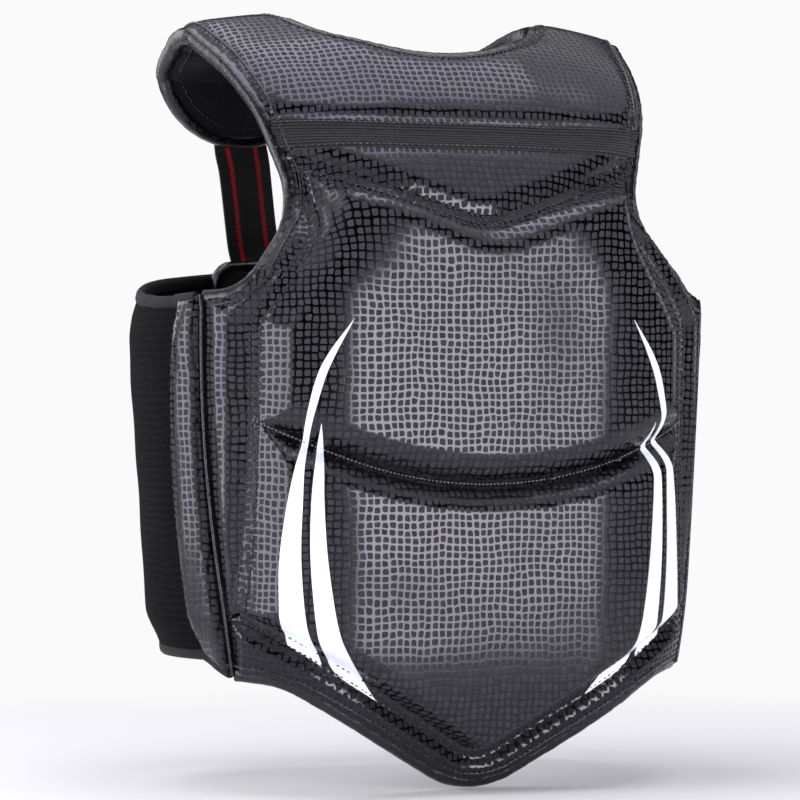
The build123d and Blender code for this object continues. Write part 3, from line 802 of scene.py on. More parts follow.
gradedEdge = {"fine": 1.5, "band": 11.0}
chestSeams = [("yoke", vSeam), ("mid", midSeam), ("side", padSide), ("side", mirrored(padSide))]
abdomenSeams = [("foot", footSeam), ("midLow", midSeam), ("side", padLower), ("side", mirrored(padLower))]
chestPad = slab("chestPad", frontPlace, outlines["chest"], padLift(chestSeams, 31), thin, embossedSkin, 3.0,
                frontUv, plainAndShadedBy=midSeam, **gradedEdge)
abdomenPad = slab("abdomenPad", frontPlace, outlines["abdomen"], padLift(abdomenSeams, 51), thin,
                  embossedSkin, 3.0, frontUv, plainAndShadedBy=midSeam, **gradedEdge)
yokeCover = slab("yokeCover", frontPlace, outlines["yoke"], yokeLift, thin, embossedSkin, 3.0, frontUv,
                 **gradedEdge)
hemPanel = slab("hemPanel", frontPlace, outlines["hem"], skinLift, thin, shadedHemSkin, 3.0, frontUv, **gradedEdge)
flanks = {}
for name, side in sides.items():
    outline = outlines["flank"] if side > 0 else mirrored(outlines["flank"])[::-1]
    flanks[name] = slab(f"flank{name.title()}", frontPlace, outline, skinLift, thin, embossedSkin, 2.6,
                        frontUv, **gradedEdge)
print("panels ready")

finishPiece(chestPad, "front_panel", "embossed_leather", "chest_cover", "chest_foam", fill=0.8)
finishPiece(abdomenPad, "front_panel", "embossed_leather", "abdomen_cover", "abdomen_foam", fill=0.8)
finishPiece(yokeCover, "front_panel", "embossed_leather", "yoke_cover", "yoke_foam",
            "shoulder_foam_left", "shoulder_foam_right", fill=0.6)
finishPiece(hemPanel, "front_panel", "embossed_leather", "hem_cover", "hem_foam", fill=0.5)
for name in sides:
    finishPiece(flanks[name], "front_panel", "embossed_leather", f"flank_cover_{name}",
                f"flank_foam_{name}", fill=0.6)

covers = [chestPad, abdomenPad, yokeCover, hemPanel, flanks["left"], flanks["right"]]


def coverTree(pieces):
    points, faces, start = [], [], 0
    for piece in pieces:
        points += [vertex.co / mm for vertex in piece.data.vertices]
        faces += [[i + start for i in face.vertices] for face in piece.data.polygons]
        start = len(points)
    return BVHTree.FromPolygons(points, faces)


frontTree = coverTree(covers)


def draped(line, lift, reach=22.0):
    # points of a flat line laid on the finished covers, with the skin's normals
    line = np.asarray(line, float)
    high, normals = onSurface(frontPlace, line[:, 0], line[:, 1], reach)
    low, _ = onSurface(frontPlace, line[:, 0], line[:, 1], 0.0)
    points = []
    for start, normal, base in zip(high, normals, low):
        hit = frontTree.ray_cast(Vector(start), Vector(-normal), reach + 8)
        points.append(np.array(hit[0]) if hit[0] is not None else base)
    return np.array(points) + normals * lift, normals


def shifted(line, amount):
    # a flat line moved sideways, to its right if positive
    line = np.asarray(line, float)
    run = np.gradient(line, axis=0)
    run /= np.linalg.norm(run, axis=1)[:, None]
    return line + np.stack([run[:, 1], -run[:, 0]], axis=1) * amount


# ---- edge bindings, piping and tape

binding = {"width": 9.6, "height": 11.4, "shift": -2.9, "lift": -6.2, "crinkle": 0.05,
           "cordInset": 8.6, "cord": 0.75}


def edgeBinding(name, edge, material, seed, *nodes):
    # a rolled binding along a free edge, with the cord-like turned edge on its inner side
    line, normals = onSurface(frontPlace, edge[:, 0], edge[:, 1], binding["lift"])
    roll = sweep(name, line, normals, rounded(binding["width"], binding["height"], shift=binding["shift"]),
                 material, crinkle=binding["crinkle"], seed=seed)
    inner = shifted(edge, -binding["cordInset"])
    line, normals = draped(inner, binding["cord"] * 0.5)
    cord = sweep(name + "Cord", line, normals, rounded(binding["cord"] * 2, binding["cord"] * 2, 2, 8),
                 material, crinkle=0.12, seed=seed + 3)
    return finishPiece(joined(name, [roll, cord]), "front_panel", "binding_leather", *nodes)


edgeBinding("neckBinding", neckEdge, bindingSkin, 51, "neck_binding")
edgeBinding("hemBinding", hemEdge, bindingSkin, 54, "hem_binding")
edgeBinding("armholeBindingLeft", armEdge, bindingSkin, 57, "armhole_binding_left")
edgeBinding("armholeBindingRight", mirrored(armEdge)[::-1], bindingSkin, 60, "armhole_binding_right")

# the piping: a thin cord sewn in on a flange, which fills the seam between panel and wing
piping = {"radius": 0.95, "rise": 0.3, "flange": 4.4, "depth": 5.0}
cordTurn = np.radians(np.arange(-30, 211, 20))
cordShape = [(piping["radius"] * math.cos(a), piping["rise"] + piping["radius"] * math.sin(a))
             for a in cordTurn]
cordShape += [(-piping["flange"] / 2, -2.4), (-piping["flange"] / 2, -piping["depth"]),
              (piping["flange"] / 2, -piping["depth"]), (piping["flange"] / 2, -2.4)]
for name, side in sides.items():
    heights = np.arange(torso["beltBottom"] - 6, torso["beltTop"] - 0.5, 2.0)
    edge = toRows(np.stack([side * pipingX(heights), heights], axis=1))
    line, normals = onSurface(frontPlace, edge[:, 0], edge[:, 1], 0.0)
    pipe = sweep(f"sidePiping{name.title()}", line, normals, cordShape, bindingSkin, crinkle=0.02, seed=70)
    finishPiece(pipe, "front_panel", "binding_leather", f"side_piping_{name}")

tapeEnd = float(armEdge[np.argmax(armEdge[:, 1] > rowAt(armEdge[:, 0], tape["z"])), 0]) - 3
tapeAcross = np.linspace(-tapeEnd, tapeEnd, 160)
tapeLine = evenly(np.stack([tapeAcross, rowAt(tapeAcross, tape["z"])], axis=1), 2)
tapeRows = np.linspace(-tape["width"] / 2, tape["width"] / 2, 13)


def tapeHeight(across):
    # flat, with a shallow groove a third of the way down and turned-down edges
    groove = -0.5 * np.exp(-((across - tape["width"] / 6) / 0.8) ** 2)
    edge = -0.9 * np.exp(-((tape["width"] / 2 - abs(across)) / 1.0) ** 2)
    return tape["thick"] + groove + edge


tapePoints, tapeNormals = [], []
for across in tapeRows:
    points, normals = draped(tapeLine + (0, across), tapeHeight(across))
    points[:, 1:] = np.stack([np.convolve(np.pad(points[:, k], 4, mode="edge"), np.ones(9) / 9, "valid")
                              for k in (1, 2)], axis=1)
    tapePoints.append(points)
    tapeNormals.append(normals)
rows, count = len(tapeRows), len(tapeLine)
top = np.array(tapePoints).reshape(-1, 3)
bottom = top - np.array(tapeNormals).reshape(-1, 3) * tape["thick"] * 1.6
faces = []
for r in range(rows - 1):
    for c in range(count - 1):
        a, b = r * count + c, (r + 1) * count + c
        faces += [(a, a + 1, b + 1, b), tuple(i + rows * count for i in (b, b + 1, a + 1, a))]
rim = (list(range(count)) + [r * count + count - 1 for r in range(1, rows)]
       + [(rows - 1) * count + c for c in range(count - 2, -1, -1)]
       + [r * count for r in range(rows - 2, 0, -1)])
faces += [(j, i, i + rows * count, j + rows * count) for i, j in zip(rim, rim[1:] + rim[:1])]
tapeUv = np.stack([np.tile(tapeLine[:, 0], rows), np.repeat(tapeRows, count)], axis=1)
chestTape = makeObject("chestTape", np.vstack([top, bottom]), faces, np.vstack([tapeUv, tapeUv]), tapeCloth)
facesOut(chestTape)
finishPiece(chestTape, "front_panel", "woven_tape", "chest_tape")
print("bindings, piping and tape ready")


# ---- linings

lining = {"thick": 1.3, "clear": 0.1}


def liningTop(u, v):
    return thin(u, v) - lining["clear"]


def liningFoot(u, v):
    return thin(u, v) - lining["clear"] - lining["thick"]


def laidFlat(outline):
    # an outline on the front, with its distances across and along the curved surface
    return np.stack(frontUv(outline[:, 0], outline[:, 1]), axis=1)


crestIndex = int(np.argmax(armEdge[:, 1] > crestRowHere))
lowEdge = armEdge[:crestIndex]
bodyOutline = np.vstack([hemEdge, sideEdge, lowEdge,
                         evenly([lowEdge[-1], neckEdge[0]], 4)[1:-1], neckEdge,
                         evenly([neckEdge[-1], mirrored(lowEdge)[-1]], 4)[1:-1],
                         mirrored(lowEdge)[::-1], mirrored(sideEdge)[::-1]])
bodyLining = slab("bodyLining", frontPlace, bodyOutline, liningTop, liningFoot, liningCloth, 5.0, frontUv)
finishPiece(bodyLining, "front_panel", "lining_fabric", "body_lining")
laidFlat(bodyOutline)
for name, side in sides.items():
    outline = np.vstack([armEdge[crestIndex:], evenly([armEdge[-1], lowEdge[-1]], 4)[1:-1]])
    outline = outline if side > 0 else mirrored(outline)[::-1]
    piece = slab(f"shoulderLining{name.title()}", frontPlace, outline, liningTop, liningFoot, liningCloth,
                 4.0, frontUv)
    finishPiece(piece, "front_panel", "lining_fabric", f"shoulder_lining_{name}")
    laidFlat(outline)
print("linings ready")


# ---- wings and mesh belts, on the side wall

wing = {"foot": 8, "gap": 2.2, "thick": 6.0, "seam": -0.8, "rise": 2.2, "drawTop": 5.0, "drawBottom": 9.0,
        "drawReach": 30.0}
belt = {"depth": 1.5, "thick": 3.0, "gap": 0.8, "endX": 25, "narrowX": 78, "wideX": 98, "levelX": 168,
        "rise": 18, "taper": 30, "endRound": 20}
wallFlat = torso["halfWidths"][2] - torso["halfDepths"][2]
wallDepth = torso["halfDepths"][2]


def around(angle):
    return wallFlat + math.radians(angle) * wallDepth


def seamAt(seam, v):
    # how far round the wall a slanted seam lies at this height
    width, radius = section(np.asarray(v, float))
    return wallFlat + wallDepth * np.arcsin((slantX(v, seam) - (width - radius)) / radius)


def drawnIn(u, v):
    # the wall is drawn in towards its top and bottom edges, away from the piping
    top = ease((v - torso["beltTop"] + wing["drawReach"]) / wing["drawReach"]) * wing["drawTop"]
    bottom = ease((torso["beltBottom"] + wing["drawReach"] - v) / wing["drawReach"]) * wing["drawBottom"]
    start = seamAt(panels["piping"], v)
    return (top + bottom) * ease((np.abs(u) - start) / 30) * ease((around(150) - np.abs(u)) / 90)


def wallBinding(name, line, lift, shape, material, seed):
    # line runs round the panel with the panel on its left
    points, normals = onSurface(wallPlace, line[:, 0], line[:, 1], lift(line[:, 0], line[:, 1]))
    return sweep(name, points, normals, shape, material, crinkle=0.02, seed=seed)


def sidePath(line, side):
    line = np.asarray(line, float)
    return line if side > 0 else mirrored(line)[::-1]


def beltRow(x):
    # how far round the wall the back's point at this x lies
    angle = 180 - math.degrees(math.asin(min(1, max(0, x - wallFlat) / wallDepth)))
    return around(angle) + max(0, wallFlat - x)


def wingStart(v):
    # how far round the wall the wing starts at this height
    return float(seamAt(panels["piping"], v)) + wing["gap"]


def wingEnd(v):
    return float(seamAt(panels["mesh"], v))


def wingFoot(u, v):
    return -wing["thick"] + 1.3 - drawnIn(u, v)


def wingMiddle(u, v):
    return -2.6 - drawnIn(u, v)


top, bottom = torso["beltTop"], torso["beltBottom"]
heights = np.linspace(bottom + 2, top - 2, 60)


def sideWing(name, side):
    # the leather strip behind the piping, with its lining and its top and bottom bindings
    label = name.title()
    lowHeights = np.linspace(bottom + 2 - wing["foot"], top - 2, 60)
    outline = evenly([(wingStart(z), z) for z in lowHeights[::-1]] + [(wingEnd(z), z) for z in heights], 2.0,
                     closed=True)
    outline = sidePath(outline, side)

    def wingLift(u, v):
        gap, place = edgeDistance(np.stack([u, v], axis=1), outline)
        height = wing["seam"] + (wing["rise"] - wing["seam"]) * np.sin(np.clip(gap / 7, 0, 1) * math.pi / 2)
        height += 0.45 * wobble(u, v * 0.35, 26, 81) * ease(gap / 6)
        waves = np.sin(place * math.tau / 6.0 + 2.5 * wobble(place, 0 * place, 24, 82))
        height += 0.35 * waves * np.exp(-(gap / 5.0) ** 1.5)
        return height - drawnIn(u, v)

    cover = slab(f"wingCover{label}", wallPlace, outline, wingLift, wingFoot, embossedSkin, 2.6)
    finishPiece(cover, f"wing_{name}", "wing_leather", f"wing_cover_{name}", f"wing_foam_{name}", fill=0.5)
    inner = slab(f"wingLining{label}", wallPlace, outline, lambda u, v: wingFoot(u, v) - 0.1,
                 lambda u, v: wingFoot(u, v) - 1.3, liningCloth, 5.0)
    finishPiece(inner, f"wing_{name}", "lining_fabric", f"wing_lining_{name}")
    roll = rounded(8.4, 7.6, shift=-2.6)
    lowRow = evenly([(wingStart(lowHeights[0]) + 0.8, lowHeights[0] - 0.5),
                     (wingEnd(bottom) + 0.5, bottom + 1.5)], 2)
    topRow = evenly([(wingEnd(top) + 0.5, top - 1.5), (wingStart(top) + 0.8, top - 1.5)], 2)
    rolls = [wallBinding(f"wingBinding{label}{k}", sidePath(line, side), wingMiddle, roll,
                         sideBindingCloth, 90 + k) for k, line in enumerate((lowRow, topRow))]
    finishPiece(joined(f"wingBinding{label}", rolls), f"wing_{name}", "fabric_tape", f"wing_binding_{name}")


def meshBelt(name, side):
    # the belt from the wing's edge round to its hook patch, bound along its free edge
    label = name.title()
    start = [(wingEnd(z) + belt["gap"], z) for z in heights[::-1]]
    narrowTop, narrowBottom = top - belt["taper"], bottom + belt["taper"]
    level, wide, narrow, end = (beltRow(belt[key]) for key in ("levelX", "wideX", "narrowX", "endX"))
    outline = filletPath([start[-1], (level, bottom + 2), (wide, bottom + belt["rise"] + 2),
                          (narrow, narrowBottom + 2), (end, narrowBottom + 2), (end, narrowTop - 2),
                          (narrow, narrowTop - 2), (wide, top + belt["rise"] - 2),
                          (around(125), top + belt["rise"] * 0.6 - 2), (around(82), top - 2), start[0]],
                         [60, 30, 30, belt["endRound"], belt["endRound"], 30, 8, 90, 60], 3)
    beltOutline = sidePath(evenly(np.vstack([outline, start[1:-1]]), 3, closed=True), side)
    freeEdge = sidePath(evenly(outline, 2.5), side)

    def beltLift(u, v):
        gap, _ = edgeDistance(np.stack([u, v], axis=1), beltOutline)
        return (-belt["depth"] - 0.6 * np.exp(-(gap / 6) ** 2) - drawnIn(u, v)
                + 0.5 * wobble(u * 0.5, v, 34, 101) * ease(gap / 15))

    mesh = slab(f"meshBelt{label}", wallPlace, beltOutline, beltLift,
                lambda u, v: -belt["depth"] - belt["thick"] - drawnIn(u, v), meshCloth, 4.5)
    finishPiece(mesh, f"belt_{name}", "mesh_fabric", f"mesh_belt_{name}")
    edge = wallBinding(f"beltBinding{label}", freeEdge, lambda u, v: -belt["depth"] - 1.5 - drawnIn(u, v),
                       rounded(8.2, 5.6, shift=-2.7), sideBindingCloth, 103)
    finishPiece(edge, f"belt_{name}", "fabric_tape", f"belt_binding_{name}")


def hookPatch(name, side):
    hookLow, hookHigh = nodeBox(f"hook_patch_{name}")
    a, b = sorted(beltRow(abs(x)) for x in (hookLow[0], hookHigh[0]))
    outline = filletPath([(a + 6, hookLow[2]), (b, hookLow[2]), (b, hookHigh[2]), (a, hookHigh[2]),
                          (a, hookLow[2]), (a + 6, hookLow[2])], [3] * 4, 3)
    hook = slab(f"hookPatch{name.title()}", wallPlace, sidePath(evenly(outline, 3)[:-1], side),
                lambda u, v: -belt["depth"] - belt["thick"] - 0.05 + 0 * u,
                lambda u, v: -belt["depth"] - belt["thick"] - 1.4 + 0 * u, hookPile, 5.0)
    finishPiece(hook, f"belt_{name}", "hook_and_loop", f"hook_patch_{name}")


for name, side in sides.items():
    sideWing(name, side)
    meshBelt(name, side)
    hookPatch(name, side)
print("wings and belts ready")


# ---- back panel and straps

backPanel = {"depth": 7.8, "thick": 8.0, "halfWidth": 100, "top": -136, "bottom": -374, "round": 12,
             "seam": -1.5, "rise": 1.6}
halfWidth, backTop, backBottom = (backPanel[k] for k in ("halfWidth", "top", "bottom"))
corners = [(0, backBottom), (halfWidth, backBottom), (halfWidth, backTop), (-halfWidth, backTop),
           (-halfWidth, backBottom), (0, backBottom)]
backEdge = evenly(filletPath(corners, [backPanel["round"]] * 4, 2)[:-1], 2.5, closed=True)


def backLift(u, v):
    gap, place = edgeDistance(np.stack([u, v], axis=1), backEdge)
    height = backPanel["seam"] + (backPanel["rise"] - backPanel["seam"]) * np.sin(
        np.clip(gap / 16, 0, 1) * math.pi / 2)
    held = ease((v - (bottom + belt["taper"] - 10)) / 10) * ease((top - belt["taper"] + 10 - v) / 10)
    return -backPanel["depth"] + height * (1 - 0.9 * held) - 0.3 * held + 0.2 * wobble(u, v, 40, 111)


def backFoot(u, v):
    gap, _ = edgeDistance(np.stack([u, v], axis=1), backEdge)
    return -backPanel["depth"] - backPanel["thick"] + 1.3 + 1.5 * np.exp(-(gap / 9) ** 2)


backCover = slab("backCover", backPlace, backEdge, backLift, backFoot, embossedSkin, 3.5)
finishPiece(backCover, "front_panel", "embossed_leather", "back_cover", "back_foam", fill=0.5)
backLining = slab("backLining", backPlace, backEdge, lambda u, v: backFoot(u, v) - 0.1,
                  lambda u, v: backFoot(u, v) - 1.3, liningCloth, 6.0)
finishPiece(backLining, "front_panel", "lining_fabric", "back_lining")
line, normals = onSurface(backPlace, backEdge[:, 0], backEdge[:, 1], -backPanel["depth"] - 3.4)
backBinding = sweep("backBinding", line, normals, rounded(8.6, 8.6, shift=-2.6), bindingSkin, closed=True,
                    crinkle=0.04, seed=115)
finishPiece(backBinding, "front_panel", "binding_leather", "back_binding")
for name, side in sides.items():
    low, high = nodeBox(f"loop_field_{name}")
    a, b = sorted((-low[0], -high[0]))
    outline = evenly(filletPath([((a + b) / 2, low[2]), (b, low[2]), (b, high[2]), (a, high[2]), (a, low[2]),
                                 ((a + b) / 2, low[2])], [4] * 4, 2)[:-1], 3, closed=True)
    field = slab(f"loopField{name.title()}", backPlace, outline,
                 lambda u, v: -backPanel["depth"] + 1.4 + 0 * u,
                 lambda u, v: -backPanel["depth"] + 0.1 + 0 * u, loopPile, 6.0)
    finishPiece(field, "front_panel", "hook_and_loop", f"loop_field_{name}")

strap = {"width": 38, "shownWidth": 35, "thick": 2.0}   # width finds its middle, shownWidth is drawn


def elasticStrap(name, side):
    # from inside the shoulder tongue down to the back panel, with its stripes along its middle
    low, high = nodeBox(f"elastic_strap_{name}")
    outerX = high[0] if side > 0 else -low[0]
    innerX = low[0] if side > 0 else -high[0]
    topX, footX = outerX - strap["width"] / 2, innerX + strap["width"] / 2
    tongueZ, backZ = torso["tongueEnd"], backTop
    middleY, backY = low[1] + 1.0, high[1] - 1.0
    spine = smoothLine([(side * topX, middleY, high[2]), (side * topX, middleY + 1.5, tongueZ + 1),
                        (side * (topX - 5), middleY + 7, tongueZ - 16),
                        (side * (footX + 5), backY - 4, backZ + 16),
                        (side * footX, backY, backZ - 1), (side * footX, backY + 0.6, low[2])], 2.5)
    outward = np.tile((0.0, 1.0, 0.0), (len(spine), 1))
    piece = sweep(f"elasticStrap{name.title()}", spine, outward,
                  rounded(strap["shownWidth"], strap["thick"], 8, 40), elasticCloth)
    layer = piece.data.uv_layers["UVMap"]
    points = np.array([vertex.co for vertex in piece.data.vertices]) / mm
    heights = spine[:, 2][::-1]
    middle = np.interp(points[:, 2], heights, spine[:, 0][::-1])
    for loop in piece.data.loops:
        x, _, z = points[loop.vertex_index]
        layer.data[loop.index].uv = (z, (x - middle[loop.vertex_index]))
    finishPiece(piece, "front_panel", "elastic", f"elastic_strap_{name}")


for name, side in sides.items():
    elasticStrap(name, side)
print("back panel and straps ready")


# ---- white printed stripes, as thin films laid on the pads

stripes = {"film": 0.5, "spacing": 2.2,
           "outerOut": [(89, -176), (103, -197), (110, -215), (116.5, -250), (122.5, -285), (125.8, -320),
                        (124.5, -355), (122, -368)],
           "outerIn": [(89, -176), (99, -197), (105.5, -215), (113, -250), (114.8, -285), (115, -320),
                       (111.5, -355), (102, -382)],
           "innerOut": [(106, -237), (108.5, -255), (110.7, -285), (110.5, -320), (107, -355), (101.5, -373),
                        (93, -386), (68, -402)],
           "innerIn": [(106, -237), (104.5, -255), (104, -285), (101.5, -320), (96, -355), (88.5, -373),
                       (76.5, -391), (68, -402)]}


def printedStripe(outer, inner):
    # the filled outline of a film, still flat
    outline = toRows(np.vstack([smoothLine(inner, 1.5)[:-1], smoothLine(outer, 1.5)[::-1][:-1]]))
    outline = evenly(outline, 1.6, closed=True)
    flat, faces = fillOutline(outline, stripes["spacing"], stripes["spacing"], stripes["spacing"])
    return flat, faces


parts = []
for side in sides.values():
    for outer, inner in (("outerOut", "outerIn"), ("innerOut", "innerIn")):
        flat, faces = printedStripe(stripes[outer], stripes[inner])
        flat = flat * (side, 1)
        topFace, normals = draped(flat, stripes["film"])
        under = topFace - normals * stripes["film"] * 3
        parts.append(makeObject("stripe", np.vstack([topFace, under]), closedFaces(flat, faces),
                                np.vstack([flat, flat]), whitePrint))
whiteStripes = joined("whiteStripes", parts)
finishPiece(whiteStripes, "front_panel", "embossed_leather")
print("stripes ready")


# ---- stitches: a thread oval at even steps along each seam row

stitching = {"pitch": 3.6, "length": 2.9, "radius": 0.55, "rowOffset": 2.4, "proud": 0.3, "seed": 4}
midStitching = {"pitch": 2.5, "length": 1.9, "radius": 0.7}   # the tight row at the bottom of the middle seam


def stitchTree(material):
    tree = bpy.data.node_groups.new("stitchRows", "GeometryNodeTree")
    tree.is_modifier = True
    for socketName, kind in (("Geometry", "NodeSocketGeometry"), ("Pitch", "NodeSocketFloat"),
                             ("Length", "NodeSocketFloat"), ("Radius", "NodeSocketFloat"),
                             ("Seed", "NodeSocketInt")):
        tree.interface.new_socket(socketName, in_out="INPUT", socket_type=kind)
    tree.interface.new_socket("Geometry", in_out="OUTPUT", socket_type="NodeSocketGeometry")
    given = addNode(tree, "NodeGroupInput").node.outputs
    line = addNode(tree, "GeometryNodeMeshToCurve", {"Mesh": given["Geometry"]})
    steps = addNode(tree, "GeometryNodeResampleCurve", {"Curve": line, "Length": given["Pitch"]},
                    mode="LENGTH")
    points = addNode(tree, "GeometryNodeCurveToPoints", {"Curve": steps}, mode="EVALUATED")
    thread = addNode(tree, "GeometryNodeMeshUVSphere", {"Segments": 6, "Rings": 5, "Radius": 1.0})
    size = addNode(tree, "ShaderNodeCombineXYZ", (given["Radius"], given["Radius"], given["Length"]))
    uneven = addNode(tree, "FunctionNodeRandomValue", {2: 0.85, 3: 1.1, "Seed": given["Seed"]}, 1,
                     data_type="FLOAT")
    scaled = addNode(tree, "ShaderNodeVectorMath", {0: size, "Scale": uneven}, operation="SCALE")
    placed = addNode(tree, "GeometryNodeInstanceOnPoints",
                     {"Points": points, "Instance": thread, "Rotation": points.node.outputs["Rotation"],
                      "Scale": scaled})
    real = addNode(tree, "GeometryNodeRealizeInstances", (placed,))
    smooth = addNode(tree, "GeometryNodeSetShadeSmooth", (real,))
    painted = addNode(tree, "GeometryNodeSetMaterial", {"Geometry": smooth, "Material": material})
    addNode(tree, "NodeGroupOutput", {"Geometry": painted})
    return tree


def stitched(name, lines, tree, sizes=stitching):
    # lines are rows of points in millimetres
    points, edges = [], []
    for line in lines:
        start = len(points)
        points += [tuple(p * mm) for p in line]
        edges += [(start + k, start + k + 1) for k in range(len(line) - 1)]
    mesh = bpy.data.meshes.new(name + "Rows")
    mesh.from_pydata(points, edges, [])
    rows = bpy.data.objects.new(name + "Rows", mesh)
    bpy.context.scene.collection.objects.link(rows)
    modifier = rows.modifiers.new("stitches", "NODES")
    modifier.node_group = tree
    values = {"Pitch": sizes["pitch"] * mm, "Length": sizes["length"] / 2 * mm,
              "Radius": sizes["radius"] * mm, "Seed": stitching["seed"]}
    for item in tree.interface.items_tree:
        if item.in_out == "INPUT" and item.name in values:
            modifier[item.identifier] = values[item.name]
    evaluated = rows.evaluated_get(bpy.context.evaluated_depsgraph_get())
    piece = bpy.data.objects.new(name, bpy.data.meshes.new_from_object(evaluated))
    bpy.context.scene.collection.objects.link(piece)
    rows.modifiers.clear()
    bpy.data.objects.remove(rows)
    return piece


threadTree = stitchTree(blackThread)
offset = stitching["rowOffset"]
seams = [(vSeam, offset), (vSeam, -offset), (evenly(footSeam, 2), offset), (evenly(footSeam, 2), -offset)]
for side in sides.values():
    for line in (padSide, evenly(padLower, 3)):
        line = line if side > 0 else mirrored(line)
        seams += [(line, offset), (line, -offset)]
tapeSides = [tapeLine + (0, tape["width"] / 2 - 1.6), tapeLine - (0, tape["width"] / 2 - 1.6)]
frontTree = coverTree(covers + [chestTape])
rows = [draped(shifted(evenly(line, 2), amount), stitching["proud"])[0] for line, amount in seams]
rows += [draped(line, stitching["proud"])[0] for line in tapeSides]
edges = [evenly(shifted(edge, -binding["cordInset"] - 0.9), 2)
         for edge in (neckEdge, hemEdge, armEdge, mirrored(armEdge)[::-1])]
rows += [draped(line, 0.1)[0] for line in edges]
liningRows = []
for edge in (armEdge[crestIndex:], mirrored(armEdge[crestIndex:])[::-1], neckEdge):
    inner = shifted(edge, -binding["cordInset"] - 2)
    u, v = inner[:, 0], inner[:, 1]
    liningRows.append(onSurface(frontPlace, u, v, liningFoot(u, v) - 0.1)[0])
frontStitches = stitched("frontStitches", rows + liningRows, threadTree)
finishPiece(frontStitches, "front_panel", "binding_leather")
# these stitches use the thread painted light grey, a painted highlight along the middle seam
midStitches = stitched("midStitches", [draped(evenly(midSeam, 2), stitching["proud"])[0]],
                       stitchTree(paintedGlintThread), midStitching)
finishPiece(midStitches, "front_panel", "binding_leather")
print("stitches ready", len(frontStitches.data.polygons))


# ---- camera, floor and light

camera = {"azimuth": 23, "distance": 2.3, "height": -0.224, "side": -0.0093, "lens": 166.9}
turn = math.radians(camera["azimuth"])
lens = bpy.data.cameras.new("camera")
lens.lens, lens.sensor_width = camera["lens"], 36
viewer = bpy.data.objects.new("camera", lens)
viewer.location = (-math.sin(turn) * camera["distance"] + math.cos(turn) * camera["side"],
                   -math.cos(turn) * camera["distance"] - math.sin(turn) * camera["side"], camera["height"])
viewer.rotation_euler = (math.radians(90), 0, -turn)
bpy.context.scene.collection.objects.link(viewer)
bpy.context.scene.camera = viewer

studio = {"pale": "#fafafb", "floorZ": -0.4575, "worldLight": 0.16, "glowStart": 0.25, "glowEnd": 0.75}
world = bpy.data.worlds.new("studio")
bpy.context.scene.world = world
world.use_nodes = True
sky = world.node_tree
sky.nodes.clear()


def seenRays(tree):
    # 1 where the background itself is looked at, straight or in a reflection
    rays = addNode(tree, "ShaderNodeLightPath").node.outputs
    straight = addNode(tree, "ShaderNodeMath", (rays["Is Camera Ray"], rays["Is Glossy Ray"]),
                       operation="MAXIMUM")
    return addNode(tree, "ShaderNodeMath", (straight, rays["Is Transmission Ray"]), operation="MAXIMUM")


plain, white = (addNode(sky, "ShaderNodeBackground", {"Color": studio["pale"], "Strength": strength})
                for strength in (studio["worldLight"], 1.0))
both = addNode(sky, "ShaderNodeMixShader", (seenRays(sky), plain, white))
addNode(sky, "ShaderNodeOutputWorld", {"Surface": both})

floorMaterial, floorTree, floorShader = newMaterial(
    "paleFloor", {"Base Color": "#f6f6f6", "Roughness": 0.9, "Specular IOR Level": 0.0})
place = addNode(floorTree, "ShaderNodeTexCoord", out="Object")
far = addNode(floorTree, "ShaderNodeVectorMath", (place,), "Value", operation="LENGTH")
share = addNode(floorTree, "ShaderNodeMapRange", (far, studio["glowStart"], studio["glowEnd"]),
                interpolation_type="SMOOTHSTEP")
fade = addNode(floorTree, "ShaderNodeMath", (seenRays(floorTree), share), operation="MULTIPLY")
glow = addNode(floorTree, "ShaderNodeEmission", {"Color": studio["pale"]})
floorLook = addNode(floorTree, "ShaderNodeMixShader", (fade, floorShader.outputs[0], glow))
setInputs(floorTree.nodes["Material Output"], {"Surface": floorLook})
bpy.ops.mesh.primitive_circle_add(vertices=96, radius=12, fill_type="NGON", location=(0, 0, studio["floorZ"]))
floor = bpy.context.object
floor.name = "floor"
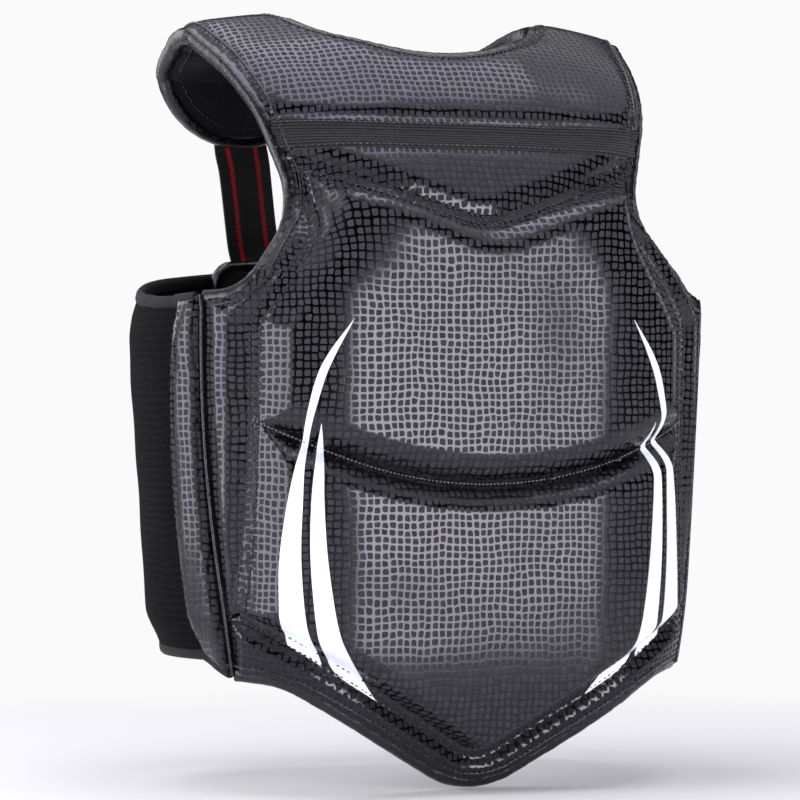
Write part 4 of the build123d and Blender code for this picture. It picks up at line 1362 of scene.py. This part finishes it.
floor.data.materials.append(floorMaterial)

# black flags all round, which only the gloss sees, so that dark leather stays dark between the lamps
flags = {"radius": 2.1, "top": 1.5, "sides": 64}
count = flags["sides"]
turns = np.linspace(0, math.tau, count, endpoint=False)
ring = np.stack([np.cos(turns), np.sin(turns)], axis=1) * flags["radius"] / mm
points = [(x, y, z / mm) for z in (studio["floorZ"], flags["top"]) for x, y in ring]
faces = [(k, (k + 1) % count, (k + 1) % count + count, k + count) for k in range(count)]
flagCloth, _, _ = newMaterial("flagCloth", {"Base Color": "#000000", "Roughness": 1.0,
                                            "Specular IOR Level": 0.0})
blackFlags = makeObject("blackFlags", points, faces, material=flagCloth)
for ray in ("camera", "diffuse", "shadow", "transmission", "volume_scatter"):
    setattr(blackFlags, f"visible_{ray}", False)

# azimuth from the front, elevation, distance, width, height, radiance, colour
lamps = {
    "frontBox": (11, -3, 1.05, 0.62, 0.44, 10.5, "#fcfaff"),
    "sideStrip": (-88, 2, 1.2, 1.05, 0.8, 6.0, "#fcfaff"),
    "topBox": (-45, 87, 1.2, 1.2, 1.1, 3.4, "#f0edff"),
    "backFill": (215, 20, 1.8, 1.3, 1.1, 2.6, "#ffffff"),
    "rightFill": (98, 15, 1.8, 0.7, 1.1, 1.6, "#ffffff"),
}
for name, (azimuth, elevation, distance, width, height, radiance, colour) in lamps.items():
    light = bpy.data.lights.new(name, "AREA")
    light.shape, light.size, light.size_y = "RECTANGLE", width, height
    light.energy = radiance * width * height * math.pi
    light.color = linear(colour)[:3]
    lamp = bpy.data.objects.new(name, light)
    a, e = math.radians(azimuth), math.radians(elevation)
    away = Vector((math.sin(a) * math.cos(e), -math.cos(a) * math.cos(e), math.sin(e)))
    lamp.location = Vector((0, 0, -0.22)) + away * distance
    lamp.rotation_euler = away.to_track_quat("Z", "Y").to_euler()
    lamp.visible_camera = False
    bpy.context.scene.collection.objects.link(lamp)

bpy.context.scene.view_settings.view_transform = "Standard"
bpy.context.view_layer.update()
print("scene ready")
